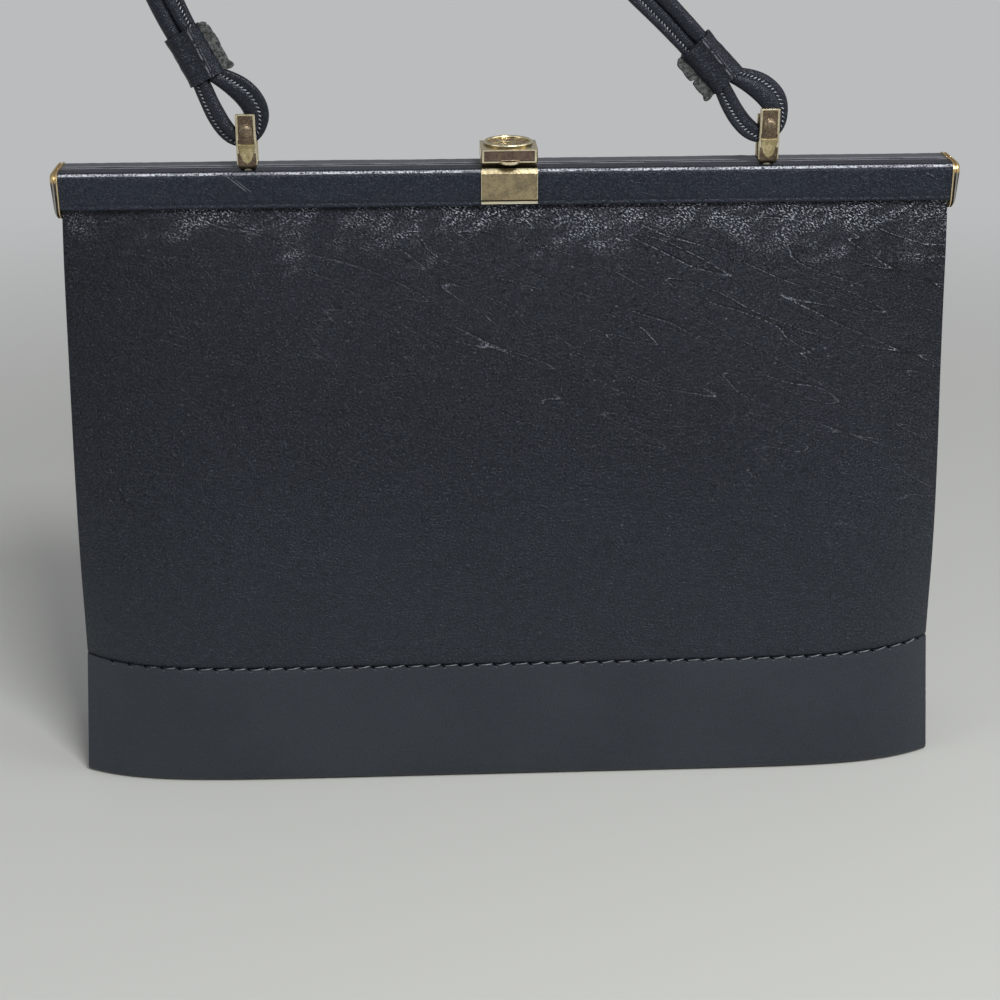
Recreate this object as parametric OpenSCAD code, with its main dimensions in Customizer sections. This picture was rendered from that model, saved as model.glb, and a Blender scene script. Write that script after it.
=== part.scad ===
// A framed handbag of black leather, closed by a brass lift-up clasp.
// The bag stands on the floor with its front towards -Y. The frame's two halves
// have arms that go down inside the bag's ends, and swing apart on a rivet there.

/* [Body] */
// Height of the closed frame's top above the floor
frame_top = 202; // [190:1:230]
// Width of the body at the floor
base_w = 287.5; // [284:0.5:310]
// Width of the body at the stitched seam
seam_w = 282.5; // [279:0.5:304]
// Depth of the base at the middle of its length
base_d = 66; // [54:1:84]
// Depth of the base at its two ends
base_end_d = 46; // [40:1:56]
// Depth of the body at the two ends of the seam
end_d = 37; // [34:1:46]
// Height from which the side edges draw in towards the frame
pinch_z = 65; // [50:1:100]
// Height from which they run straight up into the frame
pinched_z = 165; // [130:1:180]
// Height of the stitched seam above the floor
seam_z = 42.5; // [28:0.5:60]
// How far the panels belly out between the seam and the frame
belly = 5; // [0:0.5:10]
// How far the side edges bow out between the seam and the frame
side_belly = 1.1; // [0:0.1:2]
// Exponent of the outline seen from above at the base, larger is squarer
base_power = 8; // [4:1:14]
// The same exponent at the rim
rim_power = 4; // [2:0.5:10]
// Radius of the folded edge along the bottom
base_fold_r = 3; // [2.5:0.5:6]
// How far the panels lap over the base panel at the seam
seam_lap = 5; // [3:0.5:8]
// Thickness of the body leather
leather_t = 1.6; // [1.2:0.1:2]
// Thickness of the gusset leather
gusset_t = 1.4; // [1:0.1:1.8]
// Depth of the gussets' inward fold at half height
gusset_fold = 16; // [8:1:22]
// Thickness of the stiffening boards in the walls
wall_board_t = 1.5; // [1:0.1:2.5]
// Thickness of the board in the base
base_board_t = 2.3; // [1.5:0.1:3]
// Thickness of the fabric lining
lining_t = 0.7; // [0.4:0.1:1]
// Width of the slip pocket on the back lining
pocket_w = 130; // [80:5:180]
// Height of the slip pocket
pocket_h = 70; // [50:5:85]
// Height of the pocket's bottom edge above the floor
pocket_z = 50; // [30:2:54]

/* [Frame] */
// Length of the leather-covered frame between its end caps
frame_len = 277; // [274:0.5:300]
// Height of the frame
frame_h = 11.5; // [11:0.5:16]
// Depth of each half of the frame
half_d = 8.5; // [8:0.1:10]
// Radius of the frame's outer top edge
frame_edge_r = 2; // [1.2:0.1:3]
// Gap between the closed halves
split = 0.3; // [0.2:0.1:0.8]
// Thickness of the leather over the frame
cover_t = 0.8; // [0.6:0.1:1]
// Thickness of the steel channel
channel_t = 0.9; // [0.7:0.1:1.1]
// How far the panels' top edge reaches into the channel
tuck = 6.5; // [4:0.5:7]
// How far the panels' side edges lie inside the cover's ends
rim_inset = 0.2; // [0.1:0.1:2]
// Distance from the frame's top down to the hinge rivets
hinge_drop = 62; // [50:1:80]
// Thickness of the frame's side arms
arm_t = 1.2; // [0.8:0.1:1.5]
// Width of an arm at the frame
arm_w = 3.2; // [2.5:0.1:3.4]
// Radius of the eye at an arm's lower end
eye_r = 3.5; // [2.8:0.1:4.5]
// How far the outer arms lie inside the cover's ends
arm_inset = 2.3; // [2:0.1:4]
// Radius of the hinge rivets
rivet_r = 1.5; // [1:0.1:1.8]
// Thickness of the leather facing inside the mouth
facing_t = 1.2; // [0.8:0.1:1.4]
// Height of the facing's lower edge above the hinge
facing_lift = 12; // [11:0.5:18]
// Thickness of the brass end caps
cap_t = 2.6; // [1.5:0.1:3.2]
// How far the end caps hang below the frame
cap_drop = 3; // [1:0.5:5]

/* [Clasp] */
// Width of the clasp's front plate and of its flap
clasp_w = 17.6; // [14:0.2:24]
// Thickness of the clasp's plates
plate_t = 0.7; // [0.5:0.1:1]
// Height of the clasp's front plate
plate_h = 10.8; // [8:0.2:10.8]
// Gap under the flap's walls, which the catch passes through
flap_gap = 1.3; // [1:0.1:1.8]
// Height of the flap's walls
flap_h = 4; // [3.6:0.1:5]
// Thickness of the flap's walls
flap_t = 0.8; // [0.6:0.1:1]
// How far the thumb lip stands out
lip_reach = 3; // [2:0.2:4]
// Half width of the thumb lip
lip_r = 3.2; // [2:0.2:4]
// Outer diameter of the ring on the flap
bezel_d = 15.2; // [12:0.2:16]
// Width of the ring's wall
bezel_t = 1; // [0.6:0.1:1.5]
// Height of the ring
bezel_h = 1.3; // [1:0.1:2.5]
// Radius of the flap's hinge pin
pin_r = 0.8; // [0.6:0.05:0.9]
// Height of the catch
catch_h = 1.05; // [0.5:0.05:1.05]
// Radius of the catch
catch_r = 1.8; // [1:0.1:2.2]

/* [Bails] */
// Distance from the middle of the bag to each bail
bail_x = 80.5; // [60:0.5:100]
// Height of the bails above the frame
bail_h = 17.5; // [15.5:0.5:22]
// How much lower a bail's back leg ends than its front one
back_leg_drop = 2.5; // [0:0.5:2.5]
// Width of the bail's strip
bail_w = 6.1; // [4.5:0.1:7]
// Thickness of the bail's strip
bail_t = 1; // [0.8:0.1:1.3]
// Depth of the recess round the rivet in a bail's front leg
recess_t = 0.4; // [0.2:0.1:0.5]
// Height of the cross rivet above the frame's top
cross_z = 12.5; // [9:0.5:13]
// Radius of the cross rivet
cross_r = 1.2; // [0.8:0.1:1.4]
// Radius of the bail's swivel stud
stud_r = 1.5; // [1:0.1:1.8]

/* [Handle] */
// Diameter of the rolled leather cord
cord_d = 4.8; // [4:0.1:5]
// Half the width of a loop, measured outside
loop_half_w = 9.2; // [8:0.1:11]
// Distance from the cross rivet up to the widest place of a loop
loop_rise = 6; // [4:0.5:9]
// Width of the strap at the widest place of a loop
strap_w = 6.2; // [5:0.1:7]
// Width of the strap where it goes round the cross rivet
foot_w = 3.6; // [3:0.1:4]
// Thickness of the strap between the legs of a bail
strap_t = 3.4; // [3:0.1:4]
// Distance from the cross rivet to the middle of the keeper
keeper_dist = 26.5; // [24:0.5:30]
// Length of the keepers
keeper_len = 15.5; // [12:0.5:18]
// Thickness of the keepers' leather
keeper_t = 0.8; // [0.6:0.1:1.2]
// Width of the raw edge that stands out of a keeper
fin_w = 3.6; // [2:0.2:5]
// Thickness of that raw edge
fin_t = 1.8; // [1.2:0.1:2.4]
// Direction in which the left end of the handle rises, in degrees from +X
left_lean = 117; // [95:1:125]
// Direction in which the right end of the handle rises, in degrees from +X
right_lean = 133; // [115:1:140]
// How far the left keeper lies to the right of the line from its rivet
left_shift = -2.6; // [-4:0.1:2]
// How far the right keeper does
right_shift = -0.7; // [-3:0.1:3]
// How far the handle's left end goes on rising before it bends over
left_pull = 100; // [70:1:130]
// How far its right end does
right_pull = 150; // [110:1:170]

/* [Hidden] */

// Gap between fixed pieces that lie against each other
seat = 0.1;
// Radial clearance of a pin that turns in its bore
running = 0.05;
// Gap between pieces that slide past each other
passing = 0.3;
// Overrun of a cut past the face that it leaves
overrun = 1;
// Facets of the round forms that stay exact in the finished solid
$fn = 64;

leather_black = [0.13, 0.14, 0.16];
leather_soft = [0.17, 0.18, 0.2];
board_grey = [0.55, 0.52, 0.46];
lining_black = [0.1, 0.1, 0.12];
brass = [0.78, 0.64, 0.34];
steel = [0.5, 0.5, 0.5];

rim_z = frame_top - frame_h;
hinge_z = frame_top - hinge_drop;
rim_w = frame_len - 2 * rim_inset;
// Outer face of a panel at the rim, measured from the middle plane
rim_d = half_d - cover_t - channel_t - 2 * seat;

// Steps across the soft sheets
across = 20;

function mix(a, b, share) = a + (b - a) * share;
function rise(z) = max(0, min(1, (z - seam_z) / (rim_z - seam_z)));
function half_w(z) = z < seam_z
    ? mix(base_w, seam_w, z / seam_z) / 2
    : mix(seam_w, rim_w, rise(z)) / 2 + side_belly * sin(180 * pow(rise(z), 1.8));
function mid_d(z) = mix(base_d / 2, rim_d, rise(z)) + belly * sin(180 * rise(z));
// The side edges run straight up from the seam, and then draw in smoothly to the frame
function pinch(z) = max(0, min(1, (z - pinch_z) / (pinched_z - pinch_z)));
function edge_d(z) = z < seam_z
    ? mix(base_end_d, end_d, z / seam_z) / 2
    : mix(end_d / 2, rim_d, (1 - cos(180 * pinch(z))) / 2);
// Depth of the outer face at a place across the panel, from -1 to 1
function wall_d(place, z) = edge_d(z) + (mid_d(z) - edge_d(z))
    * (1 - pow(abs(place), mix(base_power, rim_power, rise(z))));

// A closed sheet between two grids of points. The rows run upwards on the front.
module sheet(outer, inner) {
    rows = len(outer) - 1;
    cols = len(outer[0]) - 1;
    count = (rows + 1) * (cols + 1);
    function at(r, c) = r * (cols + 1) + c;
    function in_at(r, c) = count + at(r, c);
    points = concat([for (row = outer) each row], [for (row = inner) each row]);
    faces = [
        for (r = [0 : rows - 1], c = [0 : cols - 1]) each [
            [at(r, c), at(r + 1, c), at(r + 1, c + 1)],
            [at(r, c), at(r + 1, c + 1), at(r, c + 1)],
            [in_at(r, c), in_at(r + 1, c + 1), in_at(r + 1, c)],
            [in_at(r, c), in_at(r, c + 1), in_at(r + 1, c + 1)]
        ],
        for (c = [0 : cols - 1]) each [
            [at(0, c), at(0, c + 1), in_at(0, c + 1)],
            [at(0, c), in_at(0, c + 1), in_at(0, c)],
            [at(rows, c + 1), at(rows, c), in_at(rows, c)],
            [at(rows, c + 1), in_at(rows, c), in_at(rows, c + 1)]
        ],
        for (r = [0 : rows - 1]) each [
            [at(r + 1, 0), at(r, 0), in_at(r, 0)],
            [at(r + 1, 0), in_at(r, 0), in_at(r + 1, 0)],
            [at(r, cols), at(r + 1, cols), in_at(r + 1, cols)],
            [at(r, cols), in_at(r + 1, cols), in_at(r, cols)]
        ]
    ];
    polyhedron(points = points, faces = faces);
}

// A tube along points of a plane y = depth, each given as [x, z]. Its halves are half
// the width in that plane and half the thickness across it, at each point.
module tube(path, halves, depth, sides = 10) {
    last = len(path) - 1;
    function along(i) = path[min(i + 1, last)] - path[max(i - 1, 0)];
    function ring(i) = let (t = along(i) / norm(along(i))) [
        for (j = [0 : sides - 1]) let (a = 360 * j / sides, side = halves[i].x * cos(a)) [
            path[i].x - side * t.y, depth + halves[i].y * sin(a), path[i].y + side * t.x
        ]
    ];
    points = [for (i = [0 : last]) each ring(i)];
    faces = [
        [for (j = [0 : sides - 1]) sides - 1 - j],
        [for (j = [0 : sides - 1]) last * sides + j],
        for (i = [0 : last - 1], j = [0 : sides - 1]) let (k = (j + 1) % sides) each [
            [i * sides + j, i * sides + k, (i + 1) * sides + k],
            [i * sides + j, (i + 1) * sides + k, (i + 1) * sides + j]
        ]
    ];
    polyhedron(points = points, faces = faces);
}

function steps(z0, z1, count) = [for (i = [0 : count]) mix(z0, z1, i / count)];

// A sheet that follows the front wall, sunk below its outer face
module wall_sheet(heights, sunk, t, half, cols = across) {
    function grid(depth) = [
        for (z = heights) [
            for (c = [0 : cols]) let (x = half(z) * sin(180 * c / cols - 90))
                [x, depth - wall_d(x / half_w(z), z), z]
        ]
    ];
    sheet(grid(sunk), grid(sunk + t));
}

// Lies a profile drawn in Y and Z along X
module along_x(length) {
    rotate([90, 0, 90]) linear_extrude(height = length, center = true) children();
}

// Puts a front piece on the back
module on_back() {
    mirror([0, 1, 0]) children();
}

// Body

panel_top = rim_z + tuck;
board_sunk = 2 * leather_t + seat + passing;
lining_sunk = board_sunk + wall_board_t + seat;
board_top = hinge_z - eye_r;
floor_z = leather_t + seat + base_board_t;
lining_low = floor_z + 2 * seat + lining_t;

module front_panel() {
    color(leather_black)
        wall_sheet(concat(steps(seam_z, rim_z, 15), [panel_top]), 0, leather_t,
            function (z) half_w(z));
}

module back_panel() {
    color(leather_black) on_back() front_panel();
}

// The base panel is one strip of leather: front band, bottom and back band.
// Each point of its path is [side share, height, inset from the wall's face].
fold_steps = 4;
joggle = leather_t + seat;
function base_side(side, inset) = [
    [side, seam_z + seam_lap, inset + joggle],
    [side, seam_z - seat, inset + joggle],
    [side, seam_z - joggle, inset],
    [side, seam_z / 2, inset],
    for (i = [0 : fold_steps]) let (a = 90 * i / fold_steps, r = base_fold_r - inset)
        [side, base_fold_r - r * sin(a), base_fold_r - r * cos(a)]
];
function base_path(inset) = concat(
    base_side(1, inset),
    [for (side = [0.5, 0, -0.5]) [side, inset, base_fold_r]],
    [for (i = [len(base_side(-1, inset)) - 1 : -1 : 0]) base_side(-1, inset)[i]]
);
function base_grid(inset) = [
    for (p = base_path(inset)) [
        for (c = [0 : across]) let (place = sin(180 * c / across - 90))
            [place * half_w(p.y), p.x * (wall_d(place, p.y) - p.z), p.y]
    ]
];

module base_panel() {
    color(leather_soft) sheet(base_grid(0), base_grid(leather_t));
}

// Gussets: the end walls, folded inwards above the floor, with a tab at the top for
// the hinge rivet. Their side edges lie against the leather in front and behind.
arm_out = frame_len / 2 - arm_inset;
inner_arm_out = arm_out - arm_t - 2 * seat;
arm_in = inner_arm_out - arm_t;
gusset_edge = 1.5;
gusset_top = hinge_z - eye_r - passing;
tab_top = hinge_z + rivet_r + gusset_t;
tab_d = rivet_r + gusset_t;
tab_x = arm_in - passing;
function gusset_w(z) = half_w(z) - gusset_edge;
function on_lap(z) = z > seam_z - joggle - seat && z < seam_z + seam_lap + 2 * seat;
// The lower corners are rounded to fit the fold along the bottom
corner_r = base_fold_r - leather_t - 2 * seat;
function corner_in(z) = z > base_fold_r
    ? 0
    : corner_r - sqrt(max(0, pow(corner_r, 2) - pow(base_fold_r - z, 2)));
function gusset_half(z) = z > gusset_top
    ? tab_d
    : edge_d(z) - leather_t - 2 * seat - corner_in(z) - (on_lap(z) ? joggle : 0);
gusset_low = max(lining_low, base_fold_r + seat);
function fold_x(z) =
    let (share = max(0, min(1, (z - gusset_low) / (gusset_top - gusset_low))))
        mix(gusset_w(gusset_low), tab_x, share) - gusset_fold * pow(sin(180 * share), 0.8);
function gusset_x(z, place) = z > gusset_top
    ? tab_x
    : mix(fold_x(z), gusset_w(z), pow(abs(place), 1.2));
gusset_rows = 9;
gusset_cols = 8;
lap_low = seam_z - joggle - 2 * seat;
lap_high = seam_z + seam_lap + 3 * seat;
gusset_heights = concat(
    [for (a = [0, 45]) base_fold_r - corner_r * cos(a)],
    steps(gusset_low, lap_low, 3),
    [lap_low + 2 * seat, lap_high - 2 * seat],
    steps(lap_high, gusset_top, gusset_rows),
    [gusset_top + passing, tab_top]
);

module right_gusset() {
    function grid(t) = [
        for (z = gusset_heights) [
            for (c = [0 : gusset_cols]) let (place = 2 * c / gusset_cols - 1)
                [gusset_x(z, place) - t, place * gusset_half(z), z]
        ]
    ];
    color(leather_black) sheet(grid(0), grid(gusset_t));
}

module left_gusset() {
    color(leather_black) mirror([1, 0, 0]) right_gusset();
}

// Half the width that the gussets leave to a sheet whose inner face lies this deep
function inner_half(z, deep) = let (low_z = min(z, gusset_top))
    gusset_x(low_z, (edge_d(low_z) - deep) / gusset_half(low_z)) - gusset_t - passing;

module front_board() {
    color(board_grey) wall_sheet(steps(floor_z + seat, board_top, 10), board_sunk,
        wall_board_t, function (z) inner_half(z, board_sunk + wall_board_t));
}

module back_board() {
    color(board_grey) on_back() front_board();
}

// Outline of the floor between the gussets, seen from above
module floor_outline(side_inset) {
    half = gusset_w(gusset_low) - gusset_t - passing;
    places = [for (c = [0 : across]) sin(180 * c / across - 90)];
    polygon(concat(
        [for (p = places) [p * half, side_inset - wall_d(p * half / half_w(0), 0)]],
        [for (p = places) [-p * half, wall_d(p * half / half_w(0), 0) - side_inset]]
    ));
}

module base_board() {
    color(board_grey) translate([0, 0, leather_t + seat])
        linear_extrude(height = base_board_t) floor_outline(base_fold_r);
}

module base_lining() {
    color(lining_black) translate([0, 0, floor_z + seat])
        linear_extrude(height = lining_t)
            floor_outline(lining_sunk + lining_t + seat);
}

module front_lining() {
    color(lining_black) wall_sheet(steps(lining_low, board_top, 10), lining_sunk,
        lining_t, function (z) inner_half(z, lining_sunk + lining_t));
}

module back_lining() {
    color(lining_black) on_back() front_lining();
}

module slip_pocket() {
    color(lining_black) on_back()
        wall_sheet(steps(pocket_z, pocket_z + pocket_h, 6),
            lining_sunk + lining_t + seat, lining_t, function (z) pocket_w / 2, cols = 8);
}

// Hinge rivets: a shank with a low head at each end
rivet_head_t = 0.7;
rivet_head_r = rivet_r + 1.5 * rivet_head_t;

module right_hinge_rivet() {
    inner_head = tab_x - gusset_t - rivet_head_t;
    color(brass) translate([0, 0, hinge_z]) rotate([0, 90, 0]) {
        translate([0, 0, inner_head]) cylinder(r = rivet_head_r, h = rivet_head_t);
        translate([0, 0, inner_head])
            cylinder(r = rivet_r, h = arm_out + seat - inner_head + rivet_head_t / 2);
        translate([0, 0, arm_out + seat])
            cylinder(r1 = rivet_head_r, r2 = rivet_r, h = rivet_head_t);
    }
}

module left_hinge_rivet() {
    color(brass) mirror([1, 0, 0]) right_hinge_rivet();
}

// Frame

cover_front = -half_d;
cover_back = -split / 2;
half_mid = (cover_front + cover_back) / 2;
channel_front = cover_front + cover_t + seat / 2;
channel_back = cover_back - cover_t - seat / 2;
channel_top = frame_top - cover_t - seat / 2;
channel_low = rim_z + cover_t + seat / 2;

// A block between two depths and two heights whose front top edge is rounded
module rounded_half(y0, y1, z0, z1, r) {
    translate([y0 + r, z0]) square([y1 - y0 - r, z1 - z0]);
    translate([y0, z0]) square([y1 - y0, z1 - z0 - r]);
    translate([y0 + r, z1 - r]) circle(r = r);
}

module channel_profile() {
    difference() {
        rounded_half(channel_front, channel_back, channel_low, channel_top,
            frame_edge_r - cover_t);
        translate([channel_front + channel_t, channel_low - overrun])
            square([channel_back - channel_front - 2 * channel_t,
                channel_top - channel_t - channel_low + overrun]);
    }
}

// The leather goes round the channel and is turned in under both of its edges
module cover_profile() {
    lip = cover_t + channel_t;
    difference() {
        rounded_half(cover_front, cover_back, rim_z, frame_top, frame_edge_r);
        rounded_half(cover_front + cover_t, cover_back - cover_t, rim_z + cover_t,
            frame_top - cover_t, frame_edge_r - cover_t);
        translate([cover_front + lip, rim_z - overrun])
            square([half_d - split / 2 - 2 * lip, cover_t + 2 * overrun]);
    }
}

// An arm of the frame, from inside the channel down to its eye on the hinge
module arm(outer_face) {
    front = channel_back - arm_w;
    roof = channel_top - channel_t / 2;
    translate([outer_face - arm_t, 0, 0]) rotate([90, 0, 90])
        linear_extrude(height = arm_t) difference() {
            union() {
                polygon([
                    [front, roof],
                    [channel_back, roof],
                    [channel_back, hinge_z + 2 * eye_r],
                    [eye_r / 2, hinge_z + eye_r * sin(60)],
                    [-eye_r, hinge_z],
                    [front, hinge_z + 2 * eye_r]
                ]);
                translate([0, hinge_z]) circle(r = eye_r);
            }
            translate([0, hinge_z]) circle(r = rivet_r + running);
        }
}

// A half of the frame: a channel with an arm at each end
module channel(outer_face) {
    difference() {
        along_x(frame_len - 2 * passing) channel_profile();
        children();
    }
    arm(outer_face);
    mirror([1, 0, 0]) arm(outer_face);
}

module stud_holes() {
    for (side = [-1, 1])
        translate([side * bail_x, half_mid, rim_z])
            cylinder(r = stud_r + running, h = frame_h + overrun);
}

module front_channel() {
    color(steel) channel(arm_out) stud_holes();
}

module back_channel() {
    color(steel) on_back() channel(inner_arm_out);
}

// The leather over it, whose turned-in edge is cut out where the arms come through
module cover(outer_face) {
    difference() {
        along_x(frame_len) cover_profile();
        for (side = [-1, 1])
            translate([side * (outer_face - arm_t / 2) - arm_t / 2 - seat,
                channel_back - arm_w - seat, rim_z - overrun])
                cube([arm_t + 2 * seat, arm_w + seat * 3 / 2, overrun + cover_t + seat / 2]);
        children();
    }
}

module front_cover() {
    color(leather_black) cover(arm_out) stud_holes();
}

module back_cover() {
    color(leather_black) on_back() cover(inner_arm_out);
}

facing_low = hinge_z + facing_lift;

module front_facing() {
    color(leather_soft) wall_sheet(concat(steps(facing_low, rim_z, 6), [panel_top - seat]),
        leather_t + 4 * seat, facing_t, function (z) arm_in - facing_t);
}

module back_facing() {
    color(leather_soft) on_back() front_facing();
}

// End caps: a flanged plate over each end of each half, rounded at its corners
cap_proud = 0.5;
cap_foot_r = 4;
cap_edge_r = 3;

module cap_outline(inset) {
    y0 = cover_front - cap_proud + inset;
    y1 = cover_back;
    z0 = rim_z - cap_drop + inset;
    z1 = frame_top + cap_proud - inset;
    translate([y0 + cap_foot_r, z0]) square([y1 - y0 - cap_foot_r, z1 - z0 - cap_edge_r]);
    translate([y0, z0 + cap_foot_r]) square([y1 - y0, z1 - z0 - cap_foot_r - cap_edge_r]);
    translate([y0 + cap_edge_r, z0 + cap_foot_r])
        square([y1 - y0 - cap_edge_r, z1 - z0 - cap_foot_r]);
    translate([y0 + cap_foot_r, z0 + cap_foot_r]) circle(r = cap_foot_r);
    translate([y0 + cap_edge_r, z1 - cap_edge_r]) circle(r = cap_edge_r);
}

module right_cap() {
    translate([frame_len / 2 + cap_t / 4, 0, 0]) along_x(cap_t / 2) cap_outline(0);
    translate([frame_len / 2 + cap_t * 3 / 4, 0, 0]) along_x(cap_t / 2) cap_outline(cap_proud);
}

module front_right_cap() {
    color(brass) right_cap();
}

module front_left_cap() {
    color(brass) mirror([1, 0, 0]) right_cap();
}

module back_right_cap() {
    color(brass) on_back() right_cap();
}

module back_left_cap() {
    color(brass) on_back() mirror([1, 0, 0]) right_cap();
}

// Clasp

plate_top = frame_top + seat + plate_t;
plate_face = cover_front - seat - plate_t;
plate_edge_r = frame_edge_r + seat + plate_t;
plate_rim = 1.2;
plate_rim_t = 0.4;

// The front plate folds over the frame's top edge, with a raised rim at its foot
module clasp_plate() {
    low = frame_top - plate_h;
    color(brass) along_x(clasp_w) {
        difference() {
            rounded_half(plate_face, cover_back - seat, low, plate_top, plate_edge_r);
            rounded_half(cover_front - seat, cover_back + overrun, low - overrun,
                frame_top + seat, frame_edge_r + seat);
        }
        for (foot = [low, frame_top - plate_edge_r - plate_rim])
            translate([plate_face, foot]) polygon([
                [0, 0], [0, plate_rim], [-plate_rim_t, plate_rim * 0.7],
                [-plate_rim_t, plate_rim * 0.3]
            ]);
    }
}

module clasp_catch() {
    color(brass) translate([0, half_mid, plate_top]) rotate_extrude()
        polygon([
            [0, 0], [catch_r, 0], [catch_r, catch_h * 0.4], [catch_r * 0.6, catch_h],
            [0, catch_h]
        ]);
}

flap_low = plate_top + flap_gap;
flap_top = flap_low + flap_h;
flap_front = plate_face + plate_t / 2;
knuckle_r = flap_h / 2 - passing / 2;
pin_y = half_d - knuckle_r + passing;
pin_z = flap_top - flap_t - knuckle_r - passing / 2;
knuckle_w = clasp_w * 0.46;
ear_out = clasp_w / 2 - flap_t - passing;

// The base on the back half: a plate with two ears that hold the flap's pin
module clasp_base() {
    ear_w = ear_out - knuckle_w / 2 - seat;
    color(brass) {
        translate([-ear_out, split / 2 + seat, frame_top + seat])
            cube([2 * ear_out, half_d - split / 2 - seat, plate_t]);
        for (side = [-1, 1])
            translate([side * (ear_out - ear_w / 2), 0, 0]) along_x(ear_w) difference() {
                union() {
                    translate([pin_y, pin_z]) circle(r = knuckle_r);
                    translate([pin_y - knuckle_r, frame_top + seat])
                        square([half_d - pin_y + knuckle_r, pin_z - frame_top - seat]);
                }
                translate([pin_y, pin_z]) circle(r = pin_r);
            }
    }
}

module clasp_pin() {
    color(steel) translate([0, pin_y, pin_z]) rotate([0, 90, 0])
        cylinder(r = pin_r, h = 2 * ear_out, center = true);
}

// A leaf spring under the flap's knuckle, which holds the flap shut or open
spring_t = 0.3;

module clasp_spring() {
    low = plate_top + seat / 2;
    high = pin_z - knuckle_r - seat;
    color(steel) along_x(knuckle_w * 0.7) polygon([
        [pin_y - 2.4 * knuckle_r, low], [pin_y - knuckle_r, low],
        [pin_y, high - spring_t], [pin_y + knuckle_r * 0.5, high - spring_t],
        [pin_y + knuckle_r * 0.5, high], [pin_y - knuckle_r * 0.1, high],
        [pin_y - knuckle_r * 1.1, low + spring_t], [pin_y - 2.4 * knuckle_r, low + spring_t]
    ]);
}

inset_deep = 0.3;
inset_rim = 0.7;
flap_edge_r = 0.9;

module clasp_flap() {
    length = pin_y - flap_front;
    wall = clasp_w / 2;
    color(brass) {
        difference() {
            translate([0, flap_front, flap_low]) linear_extrude(height = flap_h) {
                translate([-wall, flap_edge_r]) square([clasp_w, length - flap_edge_r]);
                translate([flap_edge_r - wall, 0]) square([clasp_w - 2 * flap_edge_r, length]);
                for (side = [-1, 1])
                    translate([side * (wall - flap_edge_r), flap_edge_r])
                        circle(r = flap_edge_r);
            }
            translate([flap_t - wall, flap_front + flap_t + inset_deep, flap_low - overrun])
                cube([clasp_w - 2 * flap_t, length, flap_h - flap_t + overrun]);
            // The walls end clear of the frame behind the clasp
            translate([-wall - overrun, pin_y - knuckle_r, flap_low - overrun])
                cube([clasp_w + 2 * overrun, length, flap_h - flap_t + overrun]);
            translate([flap_edge_r - wall, flap_front - overrun, flap_low + inset_rim])
                cube([clasp_w - 2 * flap_edge_r, overrun + inset_deep, flap_h - 2 * inset_rim]);
        }
        // The knuckle hangs from the flap's top
        along_x(knuckle_w) difference() {
            union() {
                translate([pin_y, pin_z]) circle(r = knuckle_r);
                translate([pin_y - knuckle_r, pin_z])
                    square([knuckle_r, flap_top - pin_z - flap_t / 2]);
            }
            translate([pin_y, pin_z]) circle(r = pin_r + running);
        }
        // The thumb lip stands out of the front wall's lower edge
        intersection() {
            translate([0, flap_front, flap_low]) cylinder(r = lip_r, h = flap_t);
            translate([-lip_r, flap_front - lip_reach, flap_low - overrun])
                cube([2 * lip_r, lip_reach + flap_t, flap_t + 2 * overrun]);
        }
    }
}

ring_y = (flap_front + pin_y) / 2 + seat;

module clasp_ring() {
    outer = bezel_d / 2;
    color(brass) translate([0, ring_y, flap_top]) rotate_extrude() {
        translate([outer - bezel_t, 0]) square([bezel_t, bezel_h - bezel_t / 2]);
        translate([outer - bezel_t / 2, bezel_h - bezel_t / 2]) circle(r = bezel_t / 2);
    }
}

module clasp_dish() {
    r = bezel_d / 2 - bezel_t - seat / 2;
    rim = bezel_h * 0.55;
    color(brass) translate([0, ring_y, flap_top]) rotate_extrude()
        polygon(concat(
            [[0, 0], [r, 0]],
            [for (i = [0 : 8]) let (share = 1 - i / 8)
                [r * share, mix(bezel_h * 0.18, rim, share * share)]]
        ));
}

// Bails

bail_gap = strap_t + 2 * passing;
bail_d = bail_gap + 2 * bail_t;
bail_low = frame_top + passing;
stud_head_t = 0.9;
recess_rim = 0.7;
rivet_dome = cross_r * 1.35;

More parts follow.
